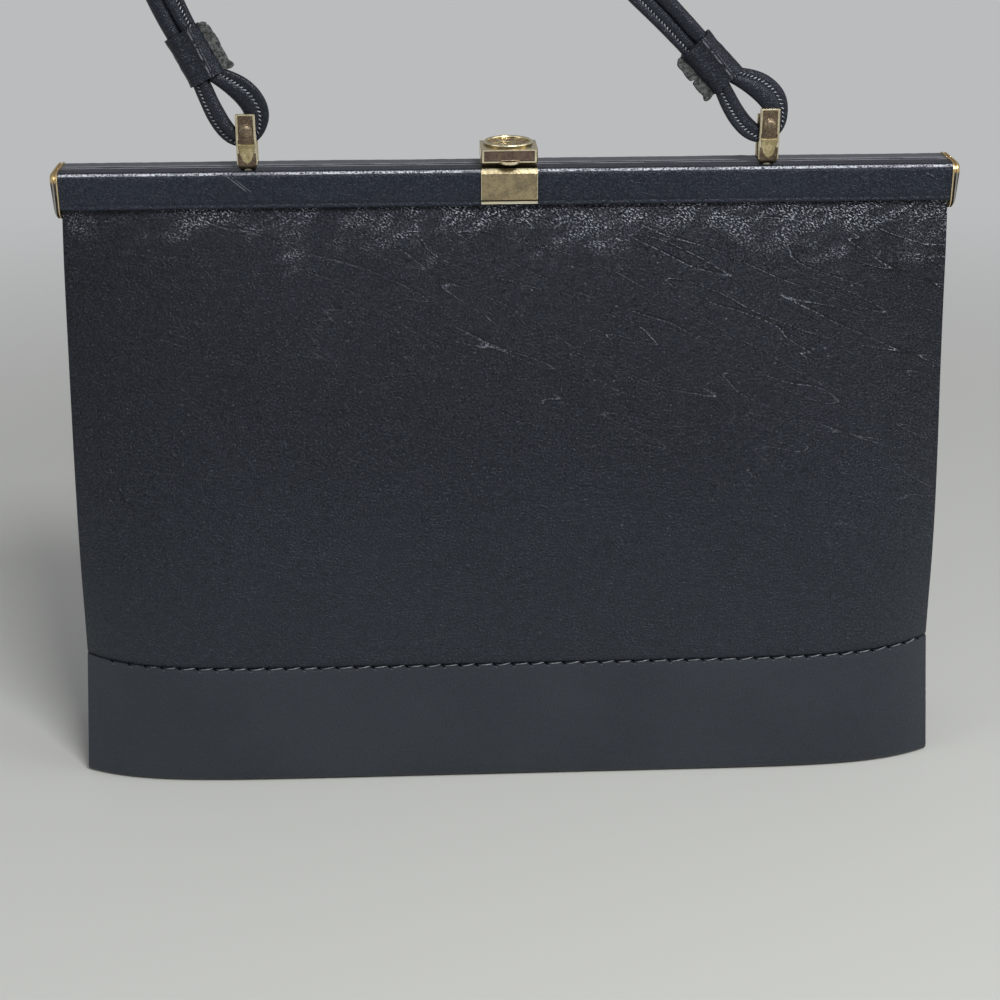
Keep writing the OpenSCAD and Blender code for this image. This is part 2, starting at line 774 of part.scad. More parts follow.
// A strip bent to a U, with its two legs in front of and behind the handle's loop
module bail() {
    top = frame_top + bail_h;
    outer = bail_d / 2;
    inner = bail_gap / 2;
    translate([0, half_mid, 0]) difference() {
        intersection() {
            along_x(bail_w) difference() {
                union() {
                    translate([0, bail_low + outer]) circle(r = outer);
                    translate([-outer, bail_low + outer])
                        square([outer, top - bail_low - outer]);
                    translate([0, bail_low + outer])
                        square([outer, top - back_leg_drop - bail_low - outer]);
                }
                translate([0, bail_low + outer]) circle(r = inner);
                translate([-inner, bail_low + outer])
                    square([bail_gap, top - bail_low]);
            }
            // Seen from the front the foot is round and the top corners are eased
            rotate([90, 0, 0]) linear_extrude(height = 2 * bail_d, center = true) {
                translate([0, bail_low + bail_w / 2]) circle(r = bail_w / 2);
                translate([-bail_w / 2, bail_low + bail_w / 2])
                    square([bail_w, bail_h - passing - bail_w / 2 - bail_t]);
                translate([bail_t - bail_w / 2, bail_low + bail_w / 2])
                    square([bail_w - 2 * bail_t, bail_h - passing - bail_w / 2]);
                for (side = [-1, 1])
                    translate([side * (bail_w / 2 - bail_t), top - bail_t])
                        circle(r = bail_t);
            }
        }
        translate([0, 0, frame_top + cross_z]) rotate([90, 0, 0])
            cylinder(r = cross_r, h = 2 * bail_d, center = true);
        // The front leg is sunk round the rivet's head
        recess_low = frame_top + cross_z - rivet_dome - recess_rim;
        translate([recess_rim - bail_w / 2, -outer - overrun, recess_low])
            cube([bail_w - 2 * recess_rim, overrun + recess_t,
                top - recess_rim - recess_low]);
    }
    // The swivel stud goes through the frame's top and is headed inside the channel
    translate([0, half_mid, 0]) {
        head_z = channel_top - channel_t - passing / 2 - stud_head_t;
        translate([0, 0, head_z]) cylinder(r = stud_r, h = bail_low + bail_t / 2 - head_z);
        translate([0, 0, head_z]) cylinder(r = stud_r + passing * 2, h = stud_head_t);
    }
}

module cross_rivet() {
    front_end = bail_d / 2 - recess_t;
    translate([0, half_mid, frame_top + cross_z]) rotate([90, 0, 0]) {
        translate([0, 0, -bail_d / 2]) cylinder(r = cross_r, h = bail_d / 2 + front_end);
        for (end = [[1, front_end], [-1, bail_d / 2]])
            scale([1, 1, end[0]]) translate([0, 0, end[1]])
                cylinder(r1 = rivet_dome, r2 = cross_r * 0.7, h = cross_r / 2);
    }
}

module left_bail() {
    color(brass) translate([-bail_x, 0, 0]) bail();
}

module right_bail() {
    color(brass) translate([bail_x, 0, 0]) bail();
}

module left_cross_rivet() {
    color(brass) translate([-bail_x, 0, 0]) cross_rivet();
}

module right_cross_rivet() {
    color(brass) translate([bail_x, 0, 0]) cross_rivet();
}

// Handle: one rolled cord, looped round both cross rivets, its two strands side by
// side. Each end rises straight through its keeper, and one arch joins the ends.

cord_r = cord_d / 2;
strand_off = cord_r + seat / 2;
left_pin = [-bail_x, frame_top + cross_z];
right_pin = [bail_x, frame_top + cross_z];
left_up = [cos(left_lean), sin(left_lean)];
right_up = [cos(right_lean), sin(right_lean)];
// The side of a direction that lies to its right
function right_of(d) = [d.y, -d.x];
left_line = left_pin + left_shift * right_of(left_up);
right_line = right_pin + right_shift * right_of(right_up);

arch_start = left_line + left_up * (keeper_dist + keeper_len / 2);
arch_end = right_line + right_up * (keeper_dist + keeper_len / 2);
arch_steps = 30;

// The arch is one cubic curve, which leaves both keepers in line with them
function arch_point(t) = pow(1 - t, 3) * arch_start
    + 3 * t * pow(1 - t, 2) * (arch_start + left_pull * left_up)
    + 3 * t * t * (1 - t) * (arch_end + right_pull * right_up)
    + pow(t, 3) * arch_end;
function arch_way(t) = let (d = 3 * pow(1 - t, 2) * left_pull * left_up
    + 6 * t * (1 - t) * (arch_end + right_pull * right_up - arch_start - left_pull * left_up)
    - 3 * t * t * right_pull * right_up) d / norm(d);

function strand(side) = concat(
    [left_line + keeper_dist * left_up - side * strand_off * right_of(left_up)],
    [for (i = [0 : arch_steps]) let (t = i / arch_steps)
        arch_point(t) - side * strand_off * right_of(arch_way(t))],
    [right_line + keeper_dist * right_up + side * strand_off * right_of(right_up)]
);
strand_halves = [for (p = strand(1)) [cord_r, cord_r]];

module inner_strand() {
    color(leather_black) tube(strand(-1), strand_halves, half_mid);
}

module outer_strand() {
    color(leather_black) tube(strand(1), strand_halves, half_mid);
}

// A loop, drawn with its rivet at the origin and its keeper above it. Each point is
// [to the right, up, half the strap's width, half its thickness]. The strap spreads from
// the keeper to its widest place and closes round the rivet in half an oval.
mouth = keeper_dist - keeper_len / 2;
loop_off = loop_half_w - strap_w / 2;
loop_drop = loop_rise + cross_r + seat + foot_w / 2;
flare_steps = 5;
foot_steps = 18;

function loop_flare(side) = concat(
    [[side * strand_off, keeper_dist - seat / 2, cord_r, cord_r]],
    [for (i = [0 : flare_steps]) let (share = i / flare_steps, out = sin(90 * share)) [
        side * mix(strand_off, loop_off, out), mix(mouth - passing, loop_rise, share),
        mix(cord_d, strap_w, out) / 2, mix(cord_d, strap_t, share) / 2
    ]]
);
function loop_points() = concat(
    loop_flare(1),
    [for (i = [1 : foot_steps - 1]) let (a = 180 * i / foot_steps) [
        loop_off * cos(a), loop_rise - loop_drop * sin(a),
        mix(strap_w, foot_w, pow(sin(a), 2)) / 2, strap_t / 2
    ]],
    [for (i = [flare_steps + 1 : -1 : 0]) loop_flare(-1)[i]]
);

module loop(pin, up_way, shift) {
    path = [for (p = loop_points()) let (aside = shift * max(0, min(1, p[1] / mouth)))
        pin + (p[0] + aside) * right_of(up_way) + p[1] * up_way];
    tube(path, [for (p = loop_points()) [p[2], p[3]]], half_mid);
}

module left_loop() {
    color(leather_black) loop(left_pin, left_up, left_shift);
}

module right_loop() {
    color(leather_black) loop(right_pin, right_up, right_shift);
}

// A keeper: a band of leather round both strands, its raw edge standing out
module keeper(line, up_way, fin_side) {
    r = cord_r + seat;
    place = line + up_way * keeper_dist;
    translate([place.x, half_mid, place.y])
        rotate([0, 90 - atan2(up_way.y, up_way.x), 0])
            linear_extrude(height = keeper_len, center = true) difference() {
                union() {
                    for (side = [-1, 1])
                        translate([side * strand_off, 0]) circle(r = r + keeper_t);
                    square([2 * strand_off, 2 * (r + keeper_t)], center = true);
                    translate([fin_side * (strand_off + r + fin_w / 2), 0])
                        square([fin_w + 2 * keeper_t, fin_t], center = true);
                }
                for (side = [-1, 1])
                    translate([side * strand_off, 0]) circle(r = r);
                square([2 * strand_off, 2 * r], center = true);
            }
}

module left_keeper() {
    color(leather_soft) keeper(left_line, left_up, 1);
}

module right_keeper() {
    color(leather_soft) keeper(right_line, right_up, -1);
}

front_panel();
back_panel();
base_panel();
left_gusset();
right_gusset();
front_board();
back_board();
base_board();
front_lining();
back_lining();
base_lining();
slip_pocket();
left_hinge_rivet();
right_hinge_rivet();
front_channel();
front_cover();
front_facing();
front_left_cap();
front_right_cap();
back_channel();
back_cover();
back_facing();
back_left_cap();
back_right_cap();
clasp_plate();
clasp_catch();
clasp_base();
clasp_pin();
clasp_spring();
clasp_flap();
clasp_ring();
clasp_dish();
left_bail();
left_cross_rivet();
right_bail();
right_cross_rivet();
left_loop();
right_loop();
inner_strand();
outer_strand();
left_keeper();
right_keeper();
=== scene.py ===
# A framed handbag of black leather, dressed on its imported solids.
#
# Sizes are in metres. The bag stands on the floor at the origin with its front
# towards -Y.

import math

import bpy
from mathutils import Matrix, Vector, noise


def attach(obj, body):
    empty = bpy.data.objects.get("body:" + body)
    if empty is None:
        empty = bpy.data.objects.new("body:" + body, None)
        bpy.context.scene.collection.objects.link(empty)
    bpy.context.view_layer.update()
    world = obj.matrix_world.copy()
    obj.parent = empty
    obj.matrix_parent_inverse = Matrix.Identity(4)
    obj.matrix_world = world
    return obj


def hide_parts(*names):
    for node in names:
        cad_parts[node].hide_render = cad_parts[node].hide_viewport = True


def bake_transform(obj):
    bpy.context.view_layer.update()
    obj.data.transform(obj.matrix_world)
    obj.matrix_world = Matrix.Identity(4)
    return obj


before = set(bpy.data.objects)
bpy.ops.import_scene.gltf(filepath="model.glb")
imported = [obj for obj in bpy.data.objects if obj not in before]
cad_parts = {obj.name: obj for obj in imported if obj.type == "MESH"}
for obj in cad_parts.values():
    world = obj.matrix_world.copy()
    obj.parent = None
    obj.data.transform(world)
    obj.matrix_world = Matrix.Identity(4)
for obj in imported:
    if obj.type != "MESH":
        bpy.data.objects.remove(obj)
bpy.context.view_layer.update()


# The camera
# It stands in front of the bag, a little to the left and well above it, and looks down
# at the front wall through a long lens.
camera_place = Vector((-0.02939, -0.58717, 0.33785))
heading = math.radians(2.606)
tilt = math.radians(23.072)
lean = math.radians(-0.076)

ahead = Vector((math.sin(heading) * math.cos(tilt), math.cos(heading) * math.cos(tilt),
                -math.sin(tilt)))
level = Vector((math.cos(heading), -math.sin(heading), 0))
above = level.cross(ahead)
to_right = math.cos(lean) * level + math.sin(lean) * above
to_top = math.cos(lean) * above - math.sin(lean) * level

bpy.ops.object.select_all(action="DESELECT")
bpy.ops.object.camera_add(location=camera_place)
camera = bpy.context.object
turn = Matrix((to_right, to_top, -ahead)).transposed().to_4x4()
camera.matrix_world = Matrix.Translation(camera_place) @ turn
camera.data.sensor_width = 36
camera.data.lens = 68.4
bpy.context.scene.camera = camera


# The front and back walls
# Each is one piece of grained black pigskin, pasted over a stiff board. It goes from
# the stitched seam up into the frame, bellies out a little, and is drawn back at its
# sides, where it meets the folded ends.
leather_thick = 0.0016
seam_z = 0.0425
rim_z = 0.1905
wall_top = 0.197
base_wide, seam_wide, rim_wide = 0.2875, 0.2825, 0.2766
base_deep, rim_deep = 0.033, 0.0066
base_end, end_deep = 0.023, 0.0185
pinch_from, pinch_to = 0.065, 0.165
belly, side_belly = 0.005, 0.0011


def between(low, high, share):
    return low + (high - low) * share


def clip(share):
    return max(0.0, min(1.0, share))


def rise(z):
    return clip((z - seam_z) / (rim_z - seam_z))


def half_width(z):
    """Half the body's width at this height."""
    if z < seam_z:
        return between(base_wide, seam_wide, z / seam_z) / 2
    bowed = side_belly * math.sin(math.pi * rise(z) ** 1.8)
    return between(seam_wide, rim_wide, rise(z)) / 2 + bowed


def edge_depth(z):
    """How far a wall's side edge stands in front of the middle plane."""
    if z < seam_z:
        return between(base_end, end_deep, z / seam_z)
    pinch = clip((z - pinch_from) / (pinch_to - pinch_from))
    return between(end_deep, rim_deep, (1 - math.cos(math.pi * pinch)) / 2)


def wall_depth(x, z):
    """How far the wall's outer face stands in front of the middle plane."""
    middle = between(base_deep, rim_deep, rise(z)) + belly * math.sin(math.pi * rise(z))
    share = min(1.0, abs(x) / half_width(z))
    power = between(8, 4, rise(z))
    return edge_depth(z) + (middle - edge_depth(z)) * (1 - share ** power)


def ripple(x, z, side, size):
    """Unevenness of soft leather, from -1 to 1, in waves of about this size."""
    return noise.noise(Vector((x / size, z / size, 7.3 * side)))


def only(piece):
    """Makes this the one selected piece."""
    bpy.ops.object.select_all(action="DESELECT")
    piece.select_set(True)
    bpy.context.view_layer.objects.active = piece


def lay_grid(name, columns, rows, place):
    """Adds a grid, lays it where place(u, v) says, and unfolds it flat in metres as its
    UV map."""
    bpy.ops.object.select_all(action="DESELECT")
    bpy.ops.mesh.primitive_grid_add(x_subdivisions=columns, y_subdivisions=rows, size=1)
    piece = bpy.context.object
    piece.name = piece.data.name = name
    spots = {}
    for point in piece.data.vertices:
        column = round((point.co.x + 0.5) * columns)
        row = round((point.co.y + 0.5) * rows)
        point.co = place(column / columns, row / rows)
        spots[point.index] = (column, row)
    where = {spot: piece.data.vertices[index].co for index, spot in spots.items()}
    flat = {}
    up = 0.0
    middle = columns // 2
    for row in range(rows + 1):
        if row:
            up += (where[middle, row] - where[middle, row - 1]).length
        flat[middle, row] = (0.0, up)
        for column in range(middle + 1, columns + 1):
            step = (where[column, row] - where[column - 1, row]).length
            flat[column, row] = (flat[column - 1, row][0] + step, up)
        for column in range(middle - 1, -1, -1):
            step = (where[column, row] - where[column + 1, row]).length
            flat[column, row] = (flat[column + 1, row][0] - step, up)
    pattern = piece.data.uv_layers.active.data
    for loop in piece.data.loops:
        pattern[loop.index].uv = flat[spots[loop.vertex_index]]
    return piece


def shape(piece, kind, **settings):
    """Adds a modifier with these settings and applies it."""
    only(piece)
    modifier = piece.modifiers.new(kind, kind)
    for name, value in settings.items():
        setattr(modifier, name, value)
    bpy.ops.object.modifier_apply(modifier=modifier.name)


def smooth(piece, angle=40):
    only(piece)
    bpy.ops.object.shade_smooth_by_angle(angle=math.radians(angle))


def thicken(piece, thick, finish, angle=60):
    """Gives a laid grid its thickness, inwards, and its finish."""
    shape(piece, "SOLIDIFY", thickness=thick, offset=-1)
    smooth(piece, angle)
    piece.data.materials.append(finish)


class Wire:
    """An output of a shader node. Sums on it add Math nodes."""

    def __init__(self, tree, socket=None):
        self.tree = tree
        self.socket = socket

    def node(self, kind, settings=None, sockets=None, out=0):
        """Adds a node: first its settings, then the values or wires of its sockets."""
        new = self.tree.nodes.new(kind)
        for name, value in (settings or {}).items():
            setattr(new, name, value)
        for name, value in (sockets or {}).items():
            if isinstance(value, Wire):
                self.tree.links.new(value.socket, new.inputs[name])
            elif new.inputs[name].type == "RGBA":
                new.inputs[name].default_value = (*value, 1)
            else:
                new.inputs[name].default_value = value
        return Wire(self.tree, new.outputs[out])

    def sum(self, operation, first, second=0.0):
        return self.node("ShaderNodeMath", {"operation": operation}, {0: first, 1: second})

    def __add__(self, other):
        return self.sum("ADD", self, other)

    __radd__ = __add__

    def __sub__(self, other):
        return self.sum("SUBTRACT", self, other)

    def __rsub__(self, other):
        return self.sum("SUBTRACT", other, self)

    def __mul__(self, other):
        return self.sum("MULTIPLY", self, other)

    __rmul__ = __mul__

    def over(self, low, high):
        """0 below low, 1 above high, and smooth between them."""
        return self.node("ShaderNodeMapRange", {"interpolation_type": "SMOOTHSTEP"},
                         {"Value": self, "From Min": low, "From Max": high})

    def mix(self, first, second):
        """A colour between two, by this share."""
        return self.node("ShaderNodeMix", {"data_type": "RGBA"},
                         {0: self, 6: first, 7: second}, out=2)

    def mottle(self, size, detail=2.0, roughness=0.5):
        """Cloudy noise of this size on a place."""
        return self.node("ShaderNodeTexNoise", None,
                         {"Vector": self, "Scale": 1 / size, "Detail": detail,
                          "Roughness": roughness})

    def stretched(self, x=1.0, y=1.0, z=1.0, turn=0.0):
        """The same place on a pattern that is stretched and turned."""
        turned = self.node("ShaderNodeMapping", None,
                           {"Vector": self, "Rotation": (0.0, 0.0, math.radians(turn))})
        return self.node("ShaderNodeMapping", None,
                         {"Vector": turned, "Scale": (1 / x, 1 / y, 1 / z)})


def start_finish(name):
    """A new material, its shader, and a wire to hang its nodes on."""
    finish = bpy.data.materials.new(name)
    finish.use_nodes = True
    shader = finish.node_tree.nodes["Principled BSDF"]
    return finish, shader, Wire(finish.node_tree)


def own_place(wire):
    """The place on the piece itself, in metres."""
    return wire.node("ShaderNodeTexCoord", out=3)


def plug(shader, name, wire):
    wire.tree.links.new(wire.socket, shader.inputs[name])


def emboss(shader, height, deep):
    """Raises the surface by height times deep."""
    plug(shader, "Normal", height.node("ShaderNodeBump", None,
                                       {"Height": height, "Distance": deep,
                                        "Strength": 1.0}))


def dull_finish(name, pattern, dark, light, rough, deep, low=0.3, high=0.7):
    """Mottled between two colours by a pattern on its own place, and raised by it."""
    finish, shader, wire = start_finish(name)
    cloud = pattern(own_place(wire))
    plug(shader, "Base Color", cloud.over(low, high).mix(dark, light))
    emboss(shader, cloud, deep)
    shader.inputs["Roughness"].default_value = rough
    return finish


def parts(place):
    """The three coordinates of a place, as wires."""
    split = place.node("ShaderNodeSeparateXYZ", None, {0: place}).socket.node
    return [Wire(place.tree, coordinate) for coordinate in split.outputs]


def near(value, middle, close, far):
    """1 where the value is close to the middle, and 0 further off than far."""
    away = value - middle
    return 1 - away.sum("ABSOLUTE", away).over(close, far)


def leather_finish(name, low, high, grain=1.0, pits=1.0, rough=(0.26, 0.42), worn=None):
    """Black pigskin: fine pebbled grain, and pits where the bristles were, whose dark
    centres are painted shade. worn adds marks of use and painted light to its tint and its
    height."""
    finish, shader, wire = start_finish(name)
    flat = wire.node("ShaderNodeUVMap")
    warp = flat.mottle(0.004, 2.0)
    shift = warp.node("ShaderNodeVectorMath", {"operation": "SCALE"},
                      {0: Wire(wire.tree, warp.socket.node.outputs[1]), "Scale": 0.0012})
    place = flat.node("ShaderNodeVectorMath", {"operation": "ADD"}, {0: flat, 1: shift})
    cells = place.node("ShaderNodeTexVoronoi", {"feature": "DISTANCE_TO_EDGE"},
                       {"Vector": place, "Scale": 1 / 0.0011})
    pebble = cells.over(0.0, 0.25)
    fine = place.mottle(0.0006, 2.0, 0.8)
    pores = place.node("ShaderNodeTexVoronoi", {"feature": "F1"},
                       {"Vector": place, "Scale": 1 / 0.0031, "Randomness": 1.0})
    pit = 1 - pores.over(0.05, 0.15)
    height = pebble * (0.3 * grain) + fine * (0.9 * grain) - pit * (0.8 * pits)
    tint = flat.mottle(0.05, 4.0).over(0.3, 0.7).mix(low, high)
    tint = (fine.over(0.46, 0.64) * (0.75 * grain)).mix(tint, (0.042, 0.051, 0.070))
    # Painted shade: the centres of the pits are darkened.
    tint = (pit * (0.7 * pits)).mix(tint, (0.002, 0.002, 0.003))
    if worn:
        tint, height = worn(flat, place, tint, height)
    emboss(shader, height, 0.0004)
    plug(shader, "Base Color", tint)
    plug(shader, "Roughness", rough[1] - fine * (2 * (rough[1] - rough[0])) + pit * 0.2)
    shader.inputs["Specular IOR Level"].default_value = 0.27
    shader.inputs["Specular Tint"].default_value = (0.86, 0.91, 1.0, 1)
    return finish


def sparkle_and_creases_top(flat, place, tint, height):
    """Below the frame the wall carries a painted sparkle: bright grains in raised patches,
    with painted shade between them. Long broken creases run down to the right, each a
    painted highlight over a line of painted shade, and single grains carry painted glints
    all over. The wall is also painted darker higher up, as painted shade, and lighter just
    above the seam, as painted light from the floor."""
    x, up = parts(flat)[:2]
    cloud = flat.mottle(0.016, 3.0, 0.6)
    patches = place.stretched(0.010, 0.004, 1.0, -20).mottle(1.0, 2.0, 0.6)
    sparkle_patches = ((up + (cloud - 0.5) * 0.07 + x * 0.05).over(0.134, 0.156)
               * (patches.over(0.40, 0.58) * 0.85 + 0.15))
    grains = place.stretched(0.0008, 0.00045, 1.0, 32).mottle(1.0, 1.5, 0.6)
    lit = grains.over(0.54, 0.62)
    sunk = 1 - grains.over(0.38, 0.50)

    folds = flat.stretched(0.050, 0.0065, 1.0, 22).mottle(1.0, 0.6, 0.4)
    broken = grains.over(0.47, 0.56)
    where = (up + x * 0.35 + (cloud - 0.5) * 0.14).over(0.075, 0.165)
    ridge = near(folds, 0.510, 0.0015, 0.007) * broken * where
    furrow = near(folds, 0.495, 0.002, 0.011) * where

    turned = place.stretched(1.0, 0.7, 1.0, 20)
    dots = turned.node("ShaderNodeTexVoronoi", {"feature": "F1"},
                       {"Vector": turned, "Scale": 1 / 0.0036, "Randomness": 1.0})
    glint = (1 - dots.over(0.05, 0.12)) * flat.mottle(0.009, 2.0).over(0.48, 0.62)

    # Painted shade: darker from 5 to 10 cm above the seam upwards.
    tint = (up.over(0.05, 0.10) * 0.35).mix(tint, (0.001, 0.0015, 0.003))
    # Painted shade between the bright grains of the painted sparkle.
    tint = (sparkle_patches * sunk * 0.9).mix(tint, (0.002, 0.002, 0.003))
    # Painted shade along the creases.
    tint = (furrow * 0.8).mix(tint, (0.003, 0.003, 0.004))
    # Painted highlight on the creases.
    tint = (ridge * 0.9).mix(tint, (0.30, 0.32, 0.37))
    # Painted glints on single grains, more of them under the frame.
    tint = (glint * (0.4 + 0.4 * where)).mix(tint, (0.20, 0.215, 0.24))
    # Painted sparkle: bright grains in the patches under the frame.
    tint = (sparkle_patches * lit * 0.9).mix(tint, (0.50, 0.53, 0.60))
    # Painted light from the pale floor: lighter within 8 cm of the seam.
    low = 1 - up.over(0.0, 0.08)
    tint = (low * 0.35).mix(tint, (0.036, 0.045, 0.056))
    height = height + sparkle_patches * grains * 1.5 + ridge * 0.5 - furrow * 0.6 + glint * 0.3
    return tint, height


wall_leather = leather_finish("wall_leather", (0.0022, 0.0030, 0.0048),
                              (0.0045, 0.0058, 0.0088), worn=sparkle_and_creases_top)


def wall_place(side):
    """Lays a wall's outer face. side is 1 for the front and -1 for the back."""
    def place(u, v):
        z = between(seam_z + 0.0001, wall_top, v)
        x = half_width(z) * math.sin(math.pi * (u - 0.5))
        free = math.sin(math.pi * rise(z)) * (1 - (abs(x) / half_width(z)) ** 6)
        soft = 0.0005 * ripple(x, z, side, 0.045) + 0.0002 * ripple(x, z, side, 0.013)
        drawn_in = 0.0001 * clip(1 - (z - seam_z) / 0.001)
        depth = wall_depth(x, z) + soft * free - drawn_in
        return Vector((side * x, -side * depth, z))
    return place


for side, name in ((1, "front"), (-1, "back")):
    wall = lay_grid(name + "_wall", 90, 72, wall_place(side))
    shape(wall, "SOLIDIFY", thickness=leather_thick, offset=-1)
    shape(wall, "SUBSURF", levels=1, render_levels=1)
    smooth(wall, 60)
    wall.data.materials.append(wall_leather)
    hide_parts(name + "_panel")
    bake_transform(wall)


# The base
# One strip of the same leather is the band below the seam in front, the bottom, and
# the band behind. Its two long edges are skived and lie behind the walls at the seam.
fold_round = 0.003
joggle = 0.0017
seam_lap = 0.005


def base_side(side):
    """Its path on one side, as side share, height and inset from the wall's face."""
    path = [(side, seam_z + seam_lap, joggle), (side, seam_z + 0.002, joggle),
            (side, seam_z + 0.0001, joggle * 0.85), (side, seam_z - 0.0001, 0.0001)]
    for i in range(15):
        path.append((side, between(seam_z - 0.0006, fold_round, i / 15), 0.0))
    for i in range(9):
        angle = math.radians(90 * i / 8)
        path.append((side, fold_round * (1 - math.sin(angle)),
                     fold_round * (1 - math.cos(angle))))
    return path


base_path = base_side(1)
base_path += [(1 - i / 10, 0.0, fold_round) for i in range(1, 20)]
base_path += base_side(-1)[::-1]


def base_place(u, v):
    share, z, inset = base_path[round((1 - v) * (len(base_path) - 1))]
    x = half_width(z) * math.sin(math.pi * (u - 0.5))
    depth = wall_depth(x, z) - inset
    if inset == 0.0:
        band = math.sin(math.pi * clip(z / seam_z))
        depth += 0.0003 * band * ripple(x, z, share, 0.04)
    return Vector((x, -share * depth, z))


# The base is painted a lighter tint than the same leather on the walls: painted light from
# the pale floor.
base_leather_floor_lit = leather_finish("base_leather_floor_lit", (0.028, 0.0335, 0.041),
                              (0.036, 0.0425, 0.051), grain=0.7, pits=0.25,
                              rough=(0.42, 0.58))
base_wrap = lay_grid("base_wrap", 90, len(base_path) - 1, base_place)
thicken(base_wrap, leather_thick, base_leather_floor_lit, 50)
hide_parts("base_panel")
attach(base_wrap, "bag")


# The seams below the walls
# Linen thread, sewn by hand with an awl: each stitch slants up to the right along the
# edge of the wall and dives into a slit, whose lip is pushed up. They are 6 mm apart,
# and the thread has worn away at the seam's left end.
stitch_count = 48
stitch_pitch = 0.00575
stitch_long = 0.0040
thread_thick = 0.00036

thread_finish = dull_finish(
    "seam_thread",
    lambda place: place.stretched(0.0004, 0.0015, 0.0004, 20).mottle(1.0, 2.0),
    (0.12, 0.13, 0.14), (0.3, 0.31, 0.33), rough=0.55, deep=0.0001)

bpy.ops.object.select_all(action="DESELECT")
bpy.ops.mesh.primitive_uv_sphere_add(segments=8, ring_count=7, radius=0.5)
stitch = bpy.context.object
for point in stitch.data.vertices:
    across, deep, along = point.co
    thin = thread_thick * (1 + 0.25 * math.sin(9 * along))
    point.co = Vector((along * stitch_long, deep * thin + 0.0009 * along * along,
                       across * thin))

# The awl slits are near-black flattened blobs without shine: painted shade standing in for
# the holes.
slit_shade_finish, shader, wire = start_finish("awl_slit_shade")
place = own_place(wire)
plug(shader, "Base Color", place.mottle(0.001).over(0.3, 0.7).mix((0.001, 0.001, 0.001),
                                                                  (0.003, 0.003, 0.004)))
shader.inputs["Roughness"].default_value = 0.95
shader.inputs["Specular IOR Level"].default_value = 0.0

bpy.ops.object.select_all(action="DESELECT")
bpy.ops.mesh.primitive_uv_sphere_add(segments=8, ring_count=5, radius=0.5)
slit = bpy.context.object
slit.data.transform(Matrix.Diagonal((0.0015, 0.00022, 0.00055, 1)))


def strew(name, model, places):
    """Copies a small piece to each of these places, as one mesh."""
    points, faces = [], []
    for place in places:
        first = len(points)
        points += [place @ point.co for point in model.data.vertices]
        faces += [[first + i for i in face.vertices] for face in model.data.polygons]
    mesh = bpy.data.meshes.new(name)
    mesh.from_pydata(points, [], faces)
    mesh.shade_smooth()
    piece = bpy.data.objects.new(name, mesh)
    bpy.context.scene.collection.objects.link(piece)
    return piece


def at_seam(side, x, z, out, slant):
    """On the wall at this place, sloping up to the right by this angle."""
    near_side, far_side = (wall_depth(x + step, z) for step in (-0.002, 0.002))
    swing = math.atan2(far_side - near_side, 0.004)
    return (Matrix.Translation((side * x, -side * (wall_depth(x, z) + out), z))
            @ Matrix.Rotation((0 if side > 0 else math.pi) - swing, 4, "Z")
            @ Matrix.Rotation(-math.radians(slant), 4, "Y"))


for side, name in ((1, "front_seam"), (-1, "back_seam")):
    threads, slits, lips = [], [], []
    for i in range(stitch_count):
        x = (i - (stitch_count - 1) / 2) * stitch_pitch + 0.0002 * math.sin(7.7 * i)
        kept = min(1, max(0.15, (x + 0.128) / 0.02))
        threads.append(at_seam(side, x, seam_z + 0.0002, 0.00005,
                               9 + 4 * math.sin(3.1 * i)) @ Matrix.Scale(kept, 4))
        slits.append(at_seam(side, x + 0.0028, seam_z + 0.0001, 0.0,
                             -38 + 6 * math.sin(2.3 * i)))
        lips.append(at_seam(side, x + 0.0033, seam_z - 0.0008, 0.0, -30)
                    @ Matrix.Scale(0.3, 4))
    for model, finish, places, kind in ((stitch, thread_finish, threads, "stitches"),
                                        (slit, slit_shade_finish, slits, "slits"),
                                        (stitch, thread_finish, lips, "lips")):
        seam = strew(f"{name}_{kind}", model, places)
        seam.data.materials.append(finish)
        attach(seam, "bag")
bpy.data.objects.remove(stitch)
bpy.data.objects.remove(slit)


# The folded ends
# Soft leather, creased inwards down its middle so that the bag shuts flat. Its edges
# are pasted inside the walls, and a tab at the top takes the frame's hinge rivet.
gusset_thick = 0.0014
gusset_low, gusset_high = 0.0049, 0.1362
tab_out, tab_half, tab_top = 0.1333, 0.0029, 0.1429
fold_deep = 0.016


def gusset_out(z):
    return half_width(z) - 0.0015


def fold_line(low):
    """Where the crease down the middle lies, at this share of its height."""
    return (between(gusset_out(gusset_low), tab_out, low)
            - fold_deep * math.sin(math.pi * low) ** 0.8)


def gusset_place(side):
    def place(u, v):
        z = between(0.0014, tab_top, v)
        low = clip((z - gusset_low) / (gusset_high - gusset_low))
        share = 2 * u - 1
        half = edge_depth(z) - leather_thick - 0.0003
        half -= 0.0017 * clip(1 - abs(z - seam_z - 0.0015) / 0.0045)
        half -= 0.002 * clip(1 - z / 0.004) ** 2
        x = between(fold_line(low), gusset_out(z), abs(share) ** 1.2)
        x += 0.0008 * math.sin(math.pi * low) * (1 - share * share) \
            * ripple(share * 0.02, z, side * 3, 0.016)
        top = clip((z - gusset_high + 0.008) / 0.008)
        half = between(half, tab_half, top ** 2)
        x = between(x, tab_out, top ** 1.5)
        return Vector((side * x, side * half * share, z))
    return place


gusset_leather = leather_finish("gusset_leather", (0.008, 0.010, 0.013),
                                (0.013, 0.015, 0.019), grain=0.8, pits=0.3)
for side, name in ((1, "right"), (-1, "left")):
    gusset = lay_grid(name + "_fold", 28, 90, gusset_place(side))
    thicken(gusset, gusset_thick, gusset_leather)
    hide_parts(name + "_gusset")
    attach(gusset, "bag")


